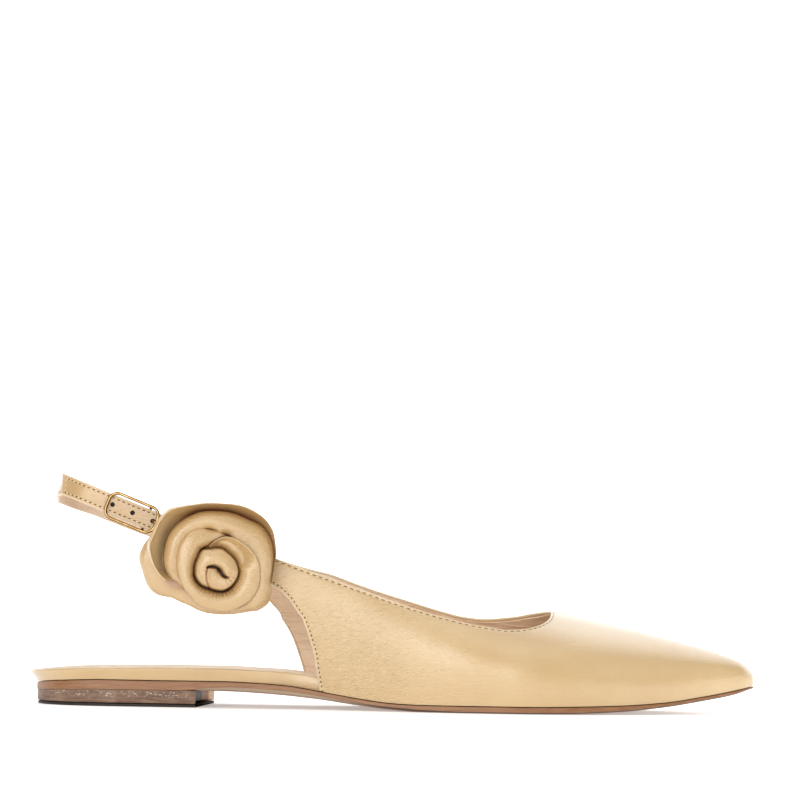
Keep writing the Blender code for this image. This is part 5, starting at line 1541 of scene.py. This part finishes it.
def to_path(u, v, marks):
    """Distance of places to a line through marks, and how far along it they lie, from 0 to 1."""
    points = curve_through(marks, np.linspace(0, 1, 120))
    gap = np.hypot(u[..., None] - points[:, 0], v[..., None] - points[:, 1])
    return gap.min(-1), gap.argmin(-1) / 119


# Lines on the bud, in millimetres to the toe side and upwards
SLIT = ((-4.2, 0.5), (-3.2, 1.1), (-1.1, 1.1), (0.5, 0.3), (1.9, -1.6), (3.3, -2.5), (4.8, -2.4))
BUD_CREASE = ((-3.6, 0.7), (-4.0, -1.2), (-3.7, -4.0), (-2.9, -5.9), (-1.9, -7.2))


def bud():
    """The tightly rolled middle, with its curved slit and the crease below it painted dark with shade, and
    fine puckers.
    """
    angles = np.arange(0, 360, 1.5)
    rim_shares = 0.86 + 0.14 * np.sin(np.linspace(0, math.pi / 2, 14))[1:]
    shares = np.concatenate([np.linspace(0.0, 0.86, 62), rim_shares])
    shares[0] = 0.002
    a, s = np.meshgrid(angles, shares, indexing="ij")
    reach = round_line(BUD, a) * s
    u, v = reach * np.cos(np.radians(a)), reach * np.sin(np.radians(a))
    front = 14.9 - 2.3 * np.maximum(0, (s - 0.45) / 0.55) ** 2.2 - 3.6 * ease((s - 0.88) / 0.12) ** 2
    front = front - 0.03 * (u * 0.3 - v * 0.2)
    gap, run = to_path(u, v, SLIT)
    wide = 0.30 + 0.35 * np.sin(np.clip(run, 0, 1) * math.pi)
    slit = bell(gap / wide) * ease(run / 0.12) * ease((1 - run) / 0.2)
    front = front - 3.4 * slit
    front = front - 0.65 * bell(gap / 1.6) * (0.4 + 0.6 * ease(run / 0.3))
    crease_gap, crease_run = to_path(u, v, BUD_CREASE)
    front = front - 0.95 * bell(crease_gap / 0.34) * (1 - 0.35 * crease_run)
    side = ease((u - (-3.9 + 0.1 * (v + 2))) / 1.6) * ease((0.6 - v) / 1.2) * ease((3.2 - u) / 3.0)
    front = front - 0.7 * side
    swirl = np.sin(np.arctan2(v + 0.3, u - 0.2) * 26 + gap * 1.2) * bell((gap - 0.9) / 0.9) * 0.12
    front = front + swirl * ease(gap / 0.5)
    bm = bmesh.new()
    layer = bm.verts.layers.float.new("shade")
    # painted shade in the slit, in the crease below it, round the bud's edge where it meets the inner fold,
    # and faintly on its left side
    shade = 1.15 * slit**1.6 + 0.55 * bell(crease_gap / 0.22) * (1 - 0.4 * crease_run)
    shade = shade + (0.45 + 0.4 * bottom(a)) * bell((s - 1) / 0.022) + 0.10 * side
    rows = put_rows(bm, at_rosette(a, reach, front), layer, np.clip(shade, 0, 1))
    wall_reach = np.stack([reach[:, -1], reach[:, -1] * 0.97], -1)
    walls = at_rosette(a[:, -2:], wall_reach, np.array([8.0, 2.8])[None, :])
    # the skirt's upper row is painted as shade in the gap round the bud; its lower row keeps the leather's
    # colour
    skirt = put_rows(bm, walls, layer, np.tile([1.0, 0.0], (len(walls), 1)))
    for i in range(len(rows)):
        j = (i + 1) % len(rows)
        line, other = rows[i] + skirt[i], rows[j] + skirt[j]
        for k in range(len(line) - 1):
            bm.faces.new((line[k], line[k + 1], other[k + 1], other[k]))
    bm.faces.new([row[0] for row in rows])
    bm.faces.new([row[-1] for row in skirt])
    new_piece("rosette_bud_roll", bm, rose_finish, ("rosette_bud",), 60)


base_petal()
cup()
middle_roll()
inner_roll()
bud()


# Studio: a pale floor that rises into a wall, soft light, and the photograph's camera
def studio():
    """The pale floor and wall. They glow with painted light: dimly just in front of the shoe so that its
    shadows stay, more past the toe, where the glow lightens the toe's shadow, and fully further back and to
    the sides.
    """
    bm = bmesh.new()
    wide, front, back, bend = 12.0, -2.4, 2.2, 0.9
    turns = np.linspace(0, math.pi / 2, 24)
    line = [(front, 0.0)] + [(back + bend * math.sin(t), bend * (1 - math.cos(t))) for t in turns]
    line.append((back + bend, 4.0))
    rows = [[bm.verts.new((x, y, z - 0.00002)) for x in (-wide, 0, wide)] for y, z in line]
    quads(bm, rows)
    bmesh.ops.recalc_face_normals(bm, faces=bm.faces)
    mesh = bpy.data.meshes.new("studio_floor")
    bm.to_mesh(mesh)
    bm.free()
    mesh.shade_smooth()
    f = Finish("floor_paper", Specular_IOR_Level=0.2, Emission_Strength=1.0)
    tooth = f.noise(90.0, 3.0)
    paper = f.mix(tooth, tone(250, 250, 250), tone(253, 253, 253))
    # painted light: the floor's glow is 0.32 in front of the shoe and rises to full behind it, to the sides
    # and, partly, past the toe
    clear = f.axis("Y").between(0.10, 1.0) + f.axis("X").between(0.17, 0.26) * 0.6
    clear = clear + f.axis("X").between(0.6, 1.6) + (0 - f.axis("X")).between(0.5, 1.5)
    glow = f.mix(clear, (0.32, 0.32, 0.32, 1), (1, 1, 1, 1))
    mesh.materials.append(f.done(Base_Color=paper, Roughness=0.7 + 0.05 * tooth, Emission_Color=glow))
    floor = bpy.data.objects.new("studio_floor", mesh)
    bpy.context.scene.collection.objects.link(floor)


def lamp(name, place, aim, size, power):
    """A soft rectangular lamp that faces a place."""
    light = bpy.data.lights.new(name, "AREA")
    light.shape, light.size, light.size_y = "RECTANGLE", size[0], size[1]
    light.energy = power
    obj = bpy.data.objects.new(name, light)
    obj.location = place
    obj.rotation_mode = "QUATERNION"
    obj.rotation_quaternion = (Vector(aim) - Vector(place)).to_track_quat("-Z", "Y")
    bpy.context.scene.collection.objects.link(obj)


def camera():
    """The photograph's camera: near the floor, level with the shoe, and turned very slightly."""
    data = bpy.data.cameras.new("studio_camera")
    data.sensor_width, data.lens = 36.0, 134.16
    data.clip_start, data.clip_end = 0.05, 30.0
    obj = bpy.data.objects.new("studio_camera", data)
    obj.rotation_mode = "QUATERNION"
    turn = Matrix.Rotation(math.radians(-0.097), 4, "Z") @ Matrix.Rotation(math.radians(90 + 3.925), 4, "X")
    obj.rotation_quaternion = (turn @ Matrix.Rotation(math.radians(0.97), 4, "Z")).to_quaternion()
    obj.location = (0.1027, -1.1, 0.040)
    bpy.context.scene.collection.objects.link(obj)
    bpy.context.scene.camera = obj


studio()
camera()
world = bpy.data.worlds.new("studio_air")
bpy.context.scene.world = world
world.use_nodes = True
world.node_tree.nodes["Background"].inputs["Color"].default_value = (1.0, 0.99, 0.975, 1)
world.node_tree.nodes["Background"].inputs["Strength"].default_value = 0.22
lamp("overhead_bank", (0.0, -0.45, 1.5), (0.10, 0.0, 0.02), (1.6, 1.0), 8.0)
lamp("front_bank", (-0.34, -1.35, 0.44), (0.08, 0.0, 0.03), (1.3, 0.66), 12.0)
lamp("rear_bank", (0.75, 0.70, 1.45), (0.14, 0.0, 0.03), (1.0, 0.8), 4.5)
lamp("toe_bank", (1.3, -0.5, 0.8), (0.12, 0.0, 0.03), (0.8, 0.8), 1.5)
bpy.context.scene.view_settings.view_transform = "Standard"
